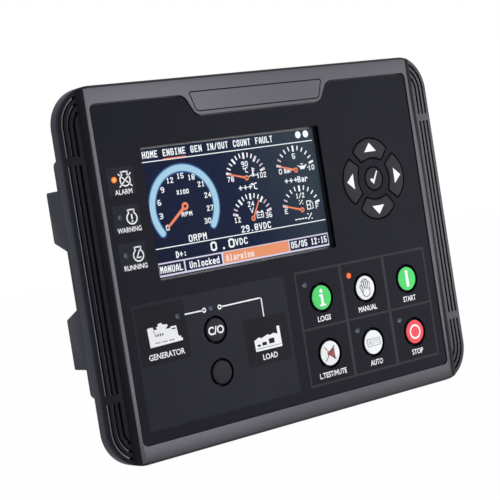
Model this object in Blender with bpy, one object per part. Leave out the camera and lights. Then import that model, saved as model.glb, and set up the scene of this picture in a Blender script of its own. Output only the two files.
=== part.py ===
"""Panel-mounted generating-set controller, modelled in metres with +Z up.

The face looks along -Y. The origin is the centre of the panel cut-out, in the plane where the
sealing gasket meets the panel, so everything at Y below zero stands in front of the panel.
"""

import math

import bmesh
import bpy
from mathutils import Matrix, Vector

MM = 0.001

# Clearances
SEAT_GAP = 0.3 * MM
CUT_OVER = 1.0 * MM
JOIN_OVERLAP = 1.0 * MM
TRIM_HAIR = 0.01 * MM

# How finely curves are divided
ROUND_SIDES = 24
SMALL_SIDES = 12
CLAMP_SIDES = 8
SPACER_SIDES = 6
OUTLINE_STEPS = 8
CORNER_STEPS = 4
SLOT_STEPS = 2
GROOVE_STEPS = 5
SHARP_ANGLE = 32

# Moulded frame seen from the front
FRAME_WIDTH = 207.4 * MM
FRAME_HEIGHT = 158.0 * MM
FRAME_CORNER = 18.0 * MM
FRAME_EDGE_ROUND = 1.2 * MM
RIM_HEIGHT = 3.1 * MM
BAND_INSET = 9.7 * MM
BAND_HALF_WIDTH = FRAME_WIDTH / 2 - BAND_INSET
BAND_SHOULDER = 4.0 * MM
WING_EDGE_HEIGHT = 0.9 * MM
WING_SLOPE_RISE = 0.9 * MM
SKIRT_INSET = 6.2 * MM
WEB_THICKNESS = 2.0 * MM

# The sheet on the face, and a layout grid that stretches with it
SHEET_SIDE_INSET = 14.9 * MM
SHEET_END_INSET = 7.8 * MM
SHEET_WIDTH = FRAME_WIDTH - 2 * SHEET_SIDE_INSET
SHEET_HEIGHT = FRAME_HEIGHT - 2 * SHEET_END_INSET
FACE_COLUMNS = 177.6
FACE_ROWS = 142.4
STEP_X = SHEET_WIDTH / FACE_COLUMNS
STEP_Z = SHEET_HEIGHT / FACE_ROWS

# Ridged wings beside the face
GROOVE_COUNT = 3
GROOVE_FIRST_INSET = 2.3 * MM
GROOVE_PITCH = 2.5 * MM
GROOVE_WIDTH = 1.5 * MM
GROOVE_FLOOR = 0.4 * MM
GROOVE_BRIDGE_Z = 49.0 * STEP_Z
GROOVE_BRIDGE = 3.4 * MM

# Printed face sheet and its recess
SHEET_CORNER = 2.4 * MM
SHEET_THICKNESS = 0.8 * MM
SHEET_RECESS = 0.4 * MM
TAB_CENTRE_X = -1.25 * MM
TAB_TOP_WIDTH = 80.7 * MM
TAB_BOTTOM_WIDTH = 70.3 * MM
TAB_DROP = 9.3 * MM
TAB_BEND = 5.0 * MM
BADGE_TOP_INSET = 6.5 * MM
BADGE_LOW_RISE = 1.6 * MM
BADGE_TOP_NARROWER = 2.65 * MM
BADGE_LOW_NARROWER = 0.35 * MM
BADGE_TOP_CORNER = 0.9 * MM
BADGE_LOW_CORNER = 2.5 * MM
BADGE_LINE = 0.5 * MM
BADGE_LINE_DEPTH = 0.4 * MM

# Display
SCREEN_WIDTH = 95.6 * STEP_X
SCREEN_HEIGHT = 54.2 * STEP_Z
SCREEN_X = -18.6 * STEP_X
SCREEN_Z = 23.0 * STEP_Z
WINDOW_MARGIN = 1.2 * MM
PANE_THICKNESS = 0.8 * MM
PANE_LAP = 2.5 * MM
WINDOW_CORNER = 1.0 * MM
PANE_CORNER = 2.0 * MM
MODULE_SIDE = 5.0 * MM
MODULE_THICKNESS = 5.6 * MM

# Keys
KEY_TRAVEL = 1.0 * MM
KEY_PROUD = 0.3 * MM
KEY_LIP = 0.3 * MM
KEY_LIP_THICKNESS = 0.8 * MM
KEY_EDGE_ROUND = 0.35 * MM
PLUNGER_SHARE = 0.36
MODE_KEY_RADIUS = 5.9 * MM
MODE_KEY_GAP = 1.1 * MM
MODE_CENTRE_X = 43.8 * STEP_X
MODE_CENTRE_Z = -39.35 * STEP_Z
MODE_PITCH_X = 26.9 * STEP_X
MODE_PITCH_Z = 25.7 * STEP_Z
SIDE_KEY_RADIUS = 5.2 * MM
SIDE_KEY_GAP = 0.95 * MM
SIDE_KEY_X = -43.9 * STEP_X
SIDE_KEY_TOP_Z = -30.3 * STEP_Z
SIDE_KEY_PITCH = 18.5 * STEP_Z
NAV_X = 59.6 * STEP_X
NAV_Z = 23.2 * STEP_Z
NAV_GAP = 0.5 * MM
CONFIRM_RADIUS = 5.4 * MM
ARROW_OUTER = 19.1 * MM
ARROW_SHOULDER = 13.5 * MM
ARROW_HALF_WIDTH = 10.6 * MM
ARROW_INNER = 9.85 * MM
ARROW_HEEL = 8.2 * MM
ARROW_HEEL_HALF = 6.2 * MM
ARROW_CORNER = 1.2 * MM

# Light pipes
LENS_RADIUS = 1.3 * MM
LENS_PROUD = 0.1 * MM
LENS_TIP_SHARE = 0.7
STATUS_LENS_X = -82.4 * STEP_X
STATUS_LENS_Z = 23.6 * STEP_Z
STATUS_LENS_PITCH = 15.75 * STEP_Z
MODE_LENS_DX = -8.65 * MM
MODE_LENS_DZ = 7.1 * MM
GENERATOR_LENS = (-62.0 * STEP_X, -21.0 * STEP_Z)
BREAKER_LENS = (-44.5 * STEP_X, -20.6 * STEP_Z)

# Boards
BOARD_THICKNESS = 1.6 * MM
BOARD_EDGE_GAP = 1.3 * MM
BOARD_SPACING = 9.5 * MM
SWITCH_SIDE = 6.0 * MM
SWITCH_HEIGHT = 1.2 * MM
CHIP_HEIGHT = 1.0 * MM
SPACER_RADIUS = 2.5 * MM
SPACER_SIDE_INSET = 16.0 * MM
SPACER_END_INSET = 30.0 * MM

# Rear housing behind the panel
FLANGE_DEPTH = 5.2 * MM
HOUSING_WALL = 2.2 * MM
FLANGE_WALL = 2.2 * MM
BODY_SIDE_INSET = 13.7 * MM
BODY_END_INSET = 11.0 * MM
BODY_WIDTH = FRAME_WIDTH - 2 * BODY_SIDE_INSET
BODY_HEIGHT = FRAME_HEIGHT - 2 * BODY_END_INSET
BODY_CORNER = 4.0 * MM
LEDGE_DEPTH = 15.0 * MM
LEDGE_WIDTH = 16.0 * MM
BACK_HEIGHT = BODY_HEIGHT - 2 * LEDGE_WIDTH
BACK_DEPTH = 26.0 * MM
BACK_CORNER = 3.0 * MM
TOWER_DEPTH = 36.0 * MM
TOWER_WIDTH = 24.0 * MM
TOWER_NEAR_Z = 12.5 * STEP_Z
TOWER_SLANT = 4.0 * STEP_Z
TOWER_FAR_Z = 39.0 * STEP_Z
CLIP_SLOT_WIDTH = 3.4 * MM
CLIP_SLOT_LENGTH = 16.0 * STEP_Z
CLIP_SLOT_DEPTH = 7.0 * MM
VENT_COUNT = 9
VENT_PITCH = 5.0 * STEP_Z
VENT_WIDTH = 2.2 * MM
VENT_END_RADIUS = 1.05 * MM
VENT_LENGTH = 22.0 * STEP_X

# Sealing gasket
GASKET_PROUD = 0.8 * MM
GASKET_WIDTH = 5.0 * MM
GASKET_THICKNESS = 1.7 * MM

# Fixing screws and the posts that they enter
POST_RADIUS = 3.2 * MM
POST_SIDE_INSET = 8.0 * MM
POST_END_INSET = 6.0 * MM
SCREW_RADIUS = 1.4 * MM
SCREW_HEAD_RADIUS = 2.9 * MM
SCREW_HEAD_HEIGHT = 1.8 * MM
SCREW_SIDE_SHARE = 0.6
SCREW_CROWN_SHARE = 0.7
SCREW_LENGTH = 10.0 * MM

# Plug-in terminals
TERMINAL_WAYS = 8
TERMINAL_PITCH = 5.08 * MM
TERMINAL_X = 41.0 * STEP_X
TERMINAL_Z = (BODY_HEIGHT + BACK_HEIGHT) / 4
HEADER_DEPTH = 8.6 * MM
HEADER_HEIGHT = 9.0 * MM
HEADER_WALL = 1.0 * MM
PLUG_NOSE = 5.0 * MM
PLUG_HEIGHT = 11.0 * MM
PLUG_DEPTH = 12.0 * MM
WIRE_HOLE = 3.0 * MM
WIRE_HOLE_DEPTH = 6.0 * MM
WIRE_HOLE_LIFT = 2.0 * MM
CLAMP_HOLE_RADIUS = 1.6 * MM
CLAMP_HOLE_DEPTH = 2.5 * MM

# Service socket
SOCKET_TO_TOWER = 4.0 * MM
SOCKET_TO_VENTS = 3.0 * MM
SOCKET_WIDTH = 12.0 * MM
SOCKET_X = BODY_WIDTH / 2 - TOWER_WIDTH - SOCKET_TO_TOWER - SOCKET_WIDTH / 2
SOCKET_Z = -26.0 * STEP_Z
VENT_X = SOCKET_X - SOCKET_WIDTH / 2 - SOCKET_TO_VENTS - VENT_LENGTH / 2
SOCKET_HEIGHT = 11.0 * MM
SOCKET_WALL = 1.2 * MM
SOCKET_MOUTH_DEPTH = 9.0 * MM

# Parts on the main board
RELAY_COUNT = 3
RELAY_SIZE = (18.0 * MM, 10.0 * MM, 15.0 * MM)
RELAY_PITCH = 24.0 * STEP_X
RELAY_FIRST_X = -62.0 * STEP_X
RELAY_Z = -30.0 * STEP_Z
BUZZER_RADIUS = 6.0 * MM
BUZZER_HEIGHT = 7.5 * MM
BUZZER_PLACE = (36.0 * STEP_X, 30.0 * STEP_Z)
CELL_RADIUS = 10.0 * MM
CELL_HEIGHT = 4.5 * MM
CELL_PLACE = (-56.0 * STEP_X, 28.0 * STEP_Z)
LINK_SIZE = (26.0 * MM, 5.0 * MM)
LINK_PLACE = (0.0, -22.0 * STEP_Z)

# Depth stations along Y, from the front to the back
FLANGE_BACK_Y = -GASKET_PROUD
FLANGE_FRONT_Y = FLANGE_BACK_Y - FLANGE_DEPTH
FRAME_BACK_Y = FLANGE_FRONT_Y - SEAT_GAP
RIM_Y = FRAME_BACK_Y - RIM_HEIGHT
SHEET_FRONT_Y = RIM_Y + SHEET_RECESS
SHEET_BACK_Y = SHEET_FRONT_Y + SHEET_THICKNESS
SHEET_FLOOR_Y = SHEET_BACK_Y + SEAT_GAP
WEB_BACK_Y = SHEET_FLOOR_Y + WEB_THICKNESS
MODULE_FRONT_Y = WEB_BACK_Y + SEAT_GAP
MODULE_BACK_Y = MODULE_FRONT_Y + MODULE_THICKNESS
KEY_BOARD_Y = MODULE_BACK_Y + SEAT_GAP
KEY_BOARD_BACK_Y = KEY_BOARD_Y + BOARD_THICKNESS
MAIN_BOARD_Y = KEY_BOARD_Y + BOARD_SPACING
MAIN_BOARD_BACK_Y = MAIN_BOARD_Y + BOARD_THICKNESS
LEDGE_FLOOR_Y = LEDGE_DEPTH - HOUSING_WALL
POST_END_Y = LEDGE_FLOOR_Y - SEAT_GAP
KEY_FRONT_Y = SHEET_FRONT_Y - KEY_PROUD


def clear_scene():
    """Remove whatever the start-up file holds."""
    for old in list(bpy.data.objects):
        bpy.data.objects.remove(old, do_unlink=True)


def plain_material(name, colour, roughness, metallic=0.0, alpha=1.0):
    """One Principled material for one sub-part."""
    mat = bpy.data.materials.new(name)
    mat.use_nodes = True
    shader = mat.node_tree.nodes["Principled BSDF"]
    shader.inputs["Base Color"].default_value = (*colour, 1.0)
    shader.inputs["Roughness"].default_value = roughness
    shader.inputs["Metallic"].default_value = metallic
    shader.inputs["Alpha"].default_value = alpha
    mat.diffuse_color = (*colour, alpha)
    return mat


# Flat outlines are lists of (x, z) points that run anticlockwise as seen from the front

def arc(centre, radius, start_deg, end_deg, steps):
    """Points along an arc, both ends included."""
    turn = [math.radians(start_deg + (end_deg - start_deg) * i / steps) for i in range(steps + 1)]
    return [(centre[0] + radius * math.cos(a), centre[1] + radius * math.sin(a)) for a in turn]


def circle(radius, centre=(0.0, 0.0), sides=ROUND_SIDES):
    """A round outline."""
    return arc(centre, radius, 0, 360, sides)[:-1]


def box_outline(low_x, low_z, high_x, high_z):
    """A plain rectangle."""
    return [(low_x, low_z), (high_x, low_z), (high_x, high_z), (low_x, high_z)]


def rounded_box(width, height, radius, centre=(0.0, 0.0), steps=CORNER_STEPS):
    """A rectangle with round corners."""
    reach_x = width / 2 - radius
    reach_z = height / 2 - radius
    points = []
    for quarter, (side, end) in enumerate(((1, 1), (-1, 1), (-1, -1), (1, -1))):
        bend = (centre[0] + side * reach_x, centre[1] + end * reach_z)
        points += arc(bend, radius, quarter * 90, quarter * 90 + 90, steps)
    return points


def grown(outline, distance):
    """The outline moved outwards by a distance, or inwards by a negative one."""
    moved = []
    count = len(outline)
    for i, here in enumerate(outline):
        before = Vector(outline[i - 1])
        point = Vector(here)
        after = Vector(outline[(i + 1) % count])
        first = (point - before).normalized()
        second = (after - point).normalized()
        normal = Vector((first.y + second.y, -first.x - second.x)).normalized()
        miter = distance / max(0.3, normal.dot(Vector((first.y, -first.x))))
        moved.append(tuple(point + normal * miter))
    return moved


def filleted(outline, steps=CORNER_STEPS):
    """The outline with its corners replaced by tangent arcs.

    Each entry is a point and the radius of its corner, which is zero where the point stays.
    """
    points = []
    count = len(outline)
    for i, (here, radius) in enumerate(outline):
        if radius == 0:
            points.append(here)
            continue
        point = Vector(here)
        back = (Vector(outline[i - 1][0]) - point).normalized()
        ahead = (Vector(outline[(i + 1) % count][0]) - point).normalized()
        half = back.angle(ahead) / 2
        centre = point + (back + ahead).normalized() * radius / math.sin(half)
        start = point + back * radius / math.tan(half) - centre
        end = point + ahead * radius / math.tan(half) - centre
        sweep = start.angle_signed(end)
        for step in range(steps + 1):
            points.append(tuple(centre + Matrix.Rotation(-sweep * step / steps, 2) @ start))
    return points


def shifted(outline, dx, dz):
    """The outline moved sideways."""
    return [(x + dx, z + dz) for x, z in outline]


def turned(outline, quarter_turns):
    """The outline turned about its origin by quarter turns."""
    angle = quarter_turns * math.pi / 2
    cosine, sine = math.cos(angle), math.sin(angle)
    return [(x * cosine - z * sine, x * sine + z * cosine) for x, z in outline]


def scaled_about_middle(outline, share):
    """The outline shrunk towards the middle of its points."""
    middle_x = sum(x for x, _ in outline) / len(outline)
    middle_z = sum(z for _, z in outline) / len(outline)
    return [(middle_x + (x - middle_x) * share, middle_z + (z - middle_z) * share) for x, z in outline]


class Hoop(list):
    """A stack of rings whose last ring joins its first, as round a gasket."""


def add_stack(mesh, rings):
    """Add a closed solid through equal-sized rings, each an outline and its Y, front to back."""
    levels = [[mesh.verts.new((x, y, z)) for x, z in outline] for outline, y in rings]
    if isinstance(rings, Hoop):
        levels.append(levels[0])
    else:
        mesh.faces.new(levels[0])
        mesh.faces.new(list(reversed(levels[-1])))
    count = len(levels[0])
    for front, back in zip(levels, levels[1:]):
        for i in range(count):
            j = (i + 1) % count
            mesh.faces.new((front[j], front[i], back[i], back[j]))


def hoop(outer, inner, front_y, back_y):
    """A flat ring between two outlines."""
    return Hoop([(outer, front_y), (outer, back_y), (inner, back_y), (inner, front_y)])


def mesh_object(name, solids, mat=None, origin=(0.0, 0.0, 0.0), smooth=True):
    """An object made of one or more stacks, with its origin at a chosen point."""
    mesh = bmesh.new()
    for rings in solids:
        add_stack(mesh, rings)
    bmesh.ops.recalc_face_normals(mesh, faces=mesh.faces)
    bmesh.ops.translate(mesh, verts=mesh.verts, vec=-Vector(origin))
    data = bpy.data.meshes.new(name)
    mesh.to_mesh(data)
    mesh.free()
    if smooth:
        data.shade_smooth()
        data.set_sharp_from_angle(angle=math.radians(SHARP_ANGLE))
    if mat:
        data.materials.append(mat)
    made = bpy.data.objects.new(name, data)
    made.location = origin
    bpy.context.scene.collection.objects.link(made)
    return made


def prism(outline, front_y, back_y):
    """Rings of a straight extrusion."""
    return [(outline, front_y), (outline, back_y)]


def block(low, high):
    """Rings of a box between two corners."""
    return prism(box_outline(low[0], low[2], high[0], high[2]), low[1], high[1])


def combine(target, name, solids, operation):
    """Join stacks to an object, cut them out of it or keep what they share."""
    tool = mesh_object(target.name + "_" + name, solids, smooth=False)
    tool.hide_render = True
    tool.display_type = "WIRE"
    tool.hide_set(True)
    step = target.modifiers.new(name, "BOOLEAN")
    step.operation = operation
    step.solver = "EXACT"
    step.use_self = operation == "UNION"
    step.object = tool
    return tool


# Places of the repeated pieces, all worked out from the pitches above

def mode_key_places():
    """Names and places of the six mode keys, row by row."""
    names = (("logs", "manual", "start"), ("lamp_test", "auto", "stop"))
    places = {}
    for row, row_names in enumerate(names):
        for column, name in enumerate(row_names):
            x = MODE_CENTRE_X + (column - 1) * MODE_PITCH_X
            z = MODE_CENTRE_Z + (0.5 - row) * MODE_PITCH_Z
            places[name] = (x, z)
    return places


def round_keys():
    """Each round key's place, radius and the gap round it."""
    keys = {name: (place, MODE_KEY_RADIUS, MODE_KEY_GAP) for name, place in mode_key_places().items()}
    keys["breaker"] = ((SIDE_KEY_X, SIDE_KEY_TOP_Z), SIDE_KEY_RADIUS, SIDE_KEY_GAP)
    keys["reserve"] = ((SIDE_KEY_X, SIDE_KEY_TOP_Z - SIDE_KEY_PITCH), SIDE_KEY_RADIUS, SIDE_KEY_GAP)
    keys["confirm"] = ((NAV_X, NAV_Z), CONFIRM_RADIUS, NAV_GAP)
    return keys


def arrow_outline():
    """The upper arrow key: a curved back, two slanted ends and a hollow heel round the centre key."""
    rise = ARROW_OUTER - ARROW_SHOULDER
    back_radius = (ARROW_HALF_WIDTH ** 2 + rise ** 2) / (2 * rise)
    back_reach = math.degrees(math.asin(ARROW_HALF_WIDTH / back_radius))
    back = arc((0.0, ARROW_OUTER - back_radius), back_radius, 90 - back_reach, 90 + back_reach,
               OUTLINE_STEPS)
    dip = ARROW_INNER - ARROW_HEEL
    heel_radius = (ARROW_HEEL_HALF ** 2 + dip ** 2) / (2 * dip)
    heel_reach = math.degrees(math.asin(ARROW_HEEL_HALF / heel_radius))
    heel = arc((0.0, ARROW_INNER - heel_radius), heel_radius, 90 + heel_reach, 90 - heel_reach,
               CORNER_STEPS)
    marked = []
    for run in (back, heel):
        last = len(run) - 1
        marked += [(point, ARROW_CORNER if i in (0, last) else 0) for i, point in enumerate(run)]
    return filleted(marked)


def arrow_keys():
    """Outlines of the four arrow keys in place."""
    upper = arrow_outline()
    turns = {"up": 0, "left": 1, "down": 2, "right": 3}
    return {name: shifted(turned(upper, count), NAV_X, NAV_Z) for name, count in turns.items()}


def lens_places():
    """Places of the light pipes."""
    places = {}
    for i, name in enumerate(("alarm", "warning", "running")):
        places[name] = (STATUS_LENS_X, STATUS_LENS_Z + (1 - i) * STATUS_LENS_PITCH)
    places["generator"] = GENERATOR_LENS
    places["breaker"] = BREAKER_LENS
    keys = mode_key_places()
    for name in ("logs", "manual", "auto", "stop"):
        places[name] = (keys[name][0] + MODE_LENS_DX, keys[name][1] + MODE_LENS_DZ)
    return places


def post_places():
    """Centres of the six screw posts."""
    reach_x = BODY_WIDTH / 2 - POST_SIDE_INSET
    reach_z = BODY_HEIGHT / 2 - POST_END_INSET
    return [(x, z) for z in (reach_z, -reach_z) for x in (-reach_x, 0.0, reach_x)]


def spacer_places():
    """Centres of the spacers between the boards."""
    reach_x = BODY_WIDTH / 2 - SPACER_SIDE_INSET
    reach_z = BODY_HEIGHT / 2 - SPACER_END_INSET
    return [(x, z) for z in (reach_z, -reach_z) for x in (-reach_x, reach_x)]


def terminal_places():
    """Each terminal's name, centre and the side its wires leave on."""
    sides = {"top": 1, "bottom": -1}
    ends = {"left": -1, "right": 1}
    return {
        side + "_" + end: (ends[end] * TERMINAL_X, sides[side] * TERMINAL_Z, sides[side])
        for side in sides
        for end in ends
    }


def frame_outline(inset=0.0):
    """The controller's outer outline, or the same line further in."""
    width = FRAME_WIDTH - 2 * inset
    height = FRAME_HEIGHT - 2 * inset
    return rounded_box(width, height, FRAME_CORNER - inset, steps=OUTLINE_STEPS)


def face_holes():
    """Outlines of the openings for every key and light pipe."""
    holes = []
    for place, radius, gap in round_keys().values():
        holes.append(circle(radius + gap, place))
    for outline in arrow_keys().values():
        holes.append(grown(outline, NAV_GAP))
    for place in lens_places().values():
        holes.append(circle(LENS_RADIUS + SEAT_GAP, place, SMALL_SIDES))
    return holes


def recess_outline(inset=0.0):
    """The sheet's outline, with the frame's tab dipping into its top edge."""
    half_x = SHEET_WIDTH / 2
    top = SHEET_HEIGHT / 2
    low = top - TAB_DROP
    half_top = TAB_TOP_WIDTH / 2
    half_low = TAB_BOTTOM_WIDTH / 2
    corners = [
        ((-half_x, -top), SHEET_CORNER),
        ((half_x, -top), SHEET_CORNER),
        ((half_x, top), SHEET_CORNER),
        ((TAB_CENTRE_X + half_top, top), TAB_BEND),
        ((TAB_CENTRE_X + half_low, low), TAB_BEND),
        ((TAB_CENTRE_X - half_low, low), TAB_BEND),
        ((TAB_CENTRE_X - half_top, top), TAB_BEND),
        ((-half_x, top), SHEET_CORNER),
    ]
    return grown(filleted(corners), -inset)


def groove_strips():
    """Outlines of the grooves on both wings, each stopped at its bridges and at the raised band."""
    half_x = FRAME_WIDTH / 2
    bend_x = half_x - FRAME_CORNER
    bend_z = FRAME_HEIGHT / 2 - FRAME_CORNER
    reach = GROOVE_BRIDGE_Z - GROOVE_BRIDGE / 2
    start = GROOVE_BRIDGE_Z + GROOVE_BRIDGE / 2
    strips = []
    for i in range(GROOVE_COUNT):
        inset = GROOVE_FIRST_INSET + i * GROOVE_PITCH
        near = inset + GROOVE_WIDTH / 2
        far = inset - GROOVE_WIDTH / 2
        strips.append(box_outline(half_x - near, -reach, half_x - far, reach))
        radius = FRAME_CORNER - inset
        stop = math.degrees(math.acos((BAND_HALF_WIDTH - bend_x) / radius))
        outer = arc((bend_x, bend_z), radius + GROOVE_WIDTH / 2, 0, stop, GROOVE_STEPS)
        inner = arc((bend_x, bend_z), radius - GROOVE_WIDTH / 2, stop, 0, GROOVE_STEPS)
        upper = [(half_x - near, start), (half_x - far, start)] + outer + inner
        strips.append(upper)
        strips.append([(x, -z) for x, z in reversed(upper)])
    return strips + [[(-x, z) for x, z in reversed(strip)] for strip in strips]


def make_front_frame():
    """The moulded front: a raised band, ridged wings, a recess, a web with holes and screw posts."""
    mat = plain_material("frame_black", (0.045, 0.045, 0.05), 0.38)
    half_x = FRAME_WIDTH / 2
    wing_edge_y = FRAME_BACK_Y - WING_EDGE_HEIGHT
    wing_root_y = wing_edge_y - WING_SLOPE_RISE
    shoulder = arc((0.0, 0.0), 1.0, 0, 90, GROOVE_STEPS)
    right = [(half_x, FRAME_BACK_Y), (half_x, wing_edge_y)]
    for across, up in shoulder:
        x = BAND_HALF_WIDTH - BAND_SHOULDER * (1 - across)
        right.append((x, wing_root_y + (RIM_Y - wing_root_y) * up))
    section = right + [(-x, y) for x, y in reversed(right)]

    # The section lies across X and Y and runs the full height, so its rings are stacked along Z
    mesh = bmesh.new()
    levels = []
    for z in (-FRAME_HEIGHT / 2 - CUT_OVER, FRAME_HEIGHT / 2 + CUT_OVER):
        levels.append([mesh.verts.new((x, y, z)) for x, y in section])
    mesh.faces.new(levels[0])
    mesh.faces.new(levels[1][::-1])
    for i in range(len(section)):
        j = (i + 1) % len(section)
        mesh.faces.new((levels[0][j], levels[0][i], levels[1][i], levels[1][j]))
    bmesh.ops.recalc_face_normals(mesh, faces=mesh.faces)
    data = bpy.data.meshes.new("front_frame")
    mesh.to_mesh(data)
    mesh.free()
    data.materials.append(mat)
    frame = bpy.data.objects.new("front_frame", data)
    bpy.context.scene.collection.objects.link(frame)

    # The outer outline, rounded towards the front, trims the section's ends and corners
    rings = []
    for step in range(CORNER_STEPS):
        turn = math.radians(90 * step / CORNER_STEPS)
        inset = FRAME_EDGE_ROUND * (1 - math.sin(turn))
        depth = FRAME_EDGE_ROUND * (1 - math.cos(turn)) - TRIM_HAIR
        rings.append((frame_outline(inset), RIM_Y + depth))
    rings.append((frame_outline(), RIM_Y + FRAME_EDGE_ROUND))
    rings.append((frame_outline(), FRAME_BACK_Y + CUT_OVER))
    combine(frame, "outline", [rings], "INTERSECT")

    # A skirt behind the frame plugs into the housing's mouth and carries the posts
    skirt = frame_outline(SKIRT_INSET)
    combine(frame, "skirt", [prism(skirt, FRAME_BACK_Y - SEAT_GAP, WEB_BACK_Y)], "UNION")
    posts = []
    for place in post_places():
        posts.append(prism(circle(POST_RADIUS, place, SMALL_SIDES), WEB_BACK_Y - JOIN_OVERLAP, POST_END_Y))
    combine(frame, "posts", posts, "UNION")

    combine(frame, "recess", [prism(recess_outline(), RIM_Y - CUT_OVER, SHEET_FLOOR_Y)], "DIFFERENCE")
    groove_floor_y = FRAME_BACK_Y - GROOVE_FLOOR
    combine(frame, "grooves", [prism(s, RIM_Y, groove_floor_y) for s in groove_strips()], "DIFFERENCE")
    combine(frame, "holes", [prism(h, RIM_Y, WEB_BACK_Y + CUT_OVER) for h in face_holes()], "DIFFERENCE")
    combine(frame, "window", window_cuts(), "DIFFERENCE")
    pilots = []
    for place in post_places():
        pilots.append(prism(circle(SCREW_RADIUS + SEAT_GAP, place, SMALL_SIDES),
                            screw_tip_y() - SEAT_GAP, POST_END_Y + CUT_OVER))
    combine(frame, "pilots", pilots, "DIFFERENCE")
    combine(frame, "badge", badge_line(), "DIFFERENCE")
    return frame


def window_cuts():
    """The step that holds the clear pane, and the opening behind it."""
    place = (SCREEN_X, SCREEN_Z)
    width = SCREEN_WIDTH + 2 * WINDOW_MARGIN
    height = SCREEN_HEIGHT + 2 * WINDOW_MARGIN
    lap = 2 * (PANE_LAP + SEAT_GAP)
    step_y = SHEET_FLOOR_Y + PANE_THICKNESS + SEAT_GAP
    return [
        prism(rounded_box(width + lap, height + lap, PANE_CORNER, place), RIM_Y, step_y),
        prism(rounded_box(width, height, WINDOW_CORNER, place), step_y - SEAT_GAP, WEB_BACK_Y + CUT_OVER),
    ]


def badge_line():
    """A shallow line round the tab's bare badge field."""
    top = FRAME_HEIGHT / 2 - BADGE_TOP_INSET
    low = SHEET_HEIGHT / 2 - TAB_DROP + BADGE_LOW_RISE
    half_top = TAB_TOP_WIDTH / 2 - BADGE_TOP_NARROWER
    half_low = TAB_BOTTOM_WIDTH / 2 - BADGE_LOW_NARROWER
    corners = [
        ((TAB_CENTRE_X - half_low, low), BADGE_LOW_CORNER),
        ((TAB_CENTRE_X + half_low, low), BADGE_LOW_CORNER),
        ((TAB_CENTRE_X + half_top, top), BADGE_TOP_CORNER),
        ((TAB_CENTRE_X - half_top, top), BADGE_TOP_CORNER),
    ]
    outer = filleted(corners)
    inner = grown(outer, -BADGE_LINE)
    return [hoop(outer, inner, RIM_Y - CUT_OVER, RIM_Y + BADGE_LINE_DEPTH)]


def make_sheet():
    """The printed face sheet, cut out for the window, keys and light pipes."""
    mat = plain_material("sheet_print", (0.03, 0.03, 0.04), 0.5)
    outline = recess_outline(SEAT_GAP)
    sheet = mesh_object("face_sheet", [prism(outline, SHEET_FRONT_Y, SHEET_BACK_Y)], mat)
    front = SHEET_FRONT_Y - CUT_OVER
    back = SHEET_BACK_Y + CUT_OVER
    combine(sheet, "holes", [prism(h, front, back) for h in face_holes()], "DIFFERENCE")
    width = SCREEN_WIDTH + 2 * WINDOW_MARGIN
    height = SCREEN_HEIGHT + 2 * WINDOW_MARGIN
    opening = rounded_box(width, height, WINDOW_CORNER, (SCREEN_X, SCREEN_Z))
    combine(sheet, "window", [prism(opening, front, back)], "DIFFERENCE")
    return sheet


def make_display():
    """The clear pane under the sheet, and the display module behind the web."""
    place = (SCREEN_X, SCREEN_Z)
    lap = 2 * (WINDOW_MARGIN + PANE_LAP)
    pane = rounded_box(SCREEN_WIDTH + lap, SCREEN_HEIGHT + lap, PANE_CORNER, place)
    front = SHEET_FLOOR_Y
    clear = plain_material("window_clear", (0.9, 0.92, 0.95), 0.05, alpha=0.25)
    mesh_object("display_window", [prism(pane, front, front + PANE_THICKNESS)], clear)
    side = 2 * MODULE_SIDE
    body = rounded_box(SCREEN_WIDTH + side, SCREEN_HEIGHT + side, WINDOW_CORNER, place)
    glass = plain_material("display_glass", (0.02, 0.04, 0.10), 0.2)
    mesh_object("display_module", [prism(body, MODULE_FRONT_Y, MODULE_BACK_Y)], glass)


def key_rings(outline, gap):
    """A key from its printed cap to its plunger."""
    lip_y = WEB_BACK_Y + SEAT_GAP
    lip = grown(outline, gap + KEY_LIP)
    plunger = scaled_about_middle(outline, PLUNGER_SHARE)
    return [
        (grown(outline, -KEY_EDGE_ROUND), KEY_FRONT_Y),
        (outline, KEY_FRONT_Y + KEY_EDGE_ROUND),
        (outline, lip_y),
        (lip, lip_y),
        (lip, lip_y + KEY_LIP_THICKNESS),
        (plunger, lip_y + KEY_LIP_THICKNESS),
        (plunger, plunger_end_y()),
    ]


def plunger_end_y():
    """Where the plungers stop, clear of the switches by the travel and a seat gap."""
    return KEY_BOARD_Y - SWITCH_HEIGHT - KEY_TRAVEL - SEAT_GAP


def make_keys():
    """Thirteen sprung keys, each with its origin on its own pressing axis."""
    colours = {
        "logs": (0.10, 0.65, 0.20),
        "start": (0.10, 0.65, 0.20),
        "manual": (0.85, 0.87, 0.88),
        "lamp_test": (0.85, 0.87, 0.88),
        "auto": (0.85, 0.87, 0.88),
        "stop": (0.80, 0.08, 0.10),
    }
    black = (0.03, 0.03, 0.035)
    for name, (place, radius, gap) in round_keys().items():
        mat = plain_material("key_" + name + "_rubber", colours.get(name, black), 0.5)
        outline = circle(radius, place)
        mesh_object("key_" + name, [key_rings(outline, gap)], mat, (place[0], SHEET_FRONT_Y, place[1]))
    for name, outline in arrow_keys().items():
        mat = plain_material("key_" + name + "_rubber", black, 0.5)
        middle = scaled_about_middle(outline, 0.0)[0]
        mesh_object("key_" + name, [key_rings(outline, NAV_GAP)], mat,
                    (middle[0], SHEET_FRONT_Y, middle[1]))


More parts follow.
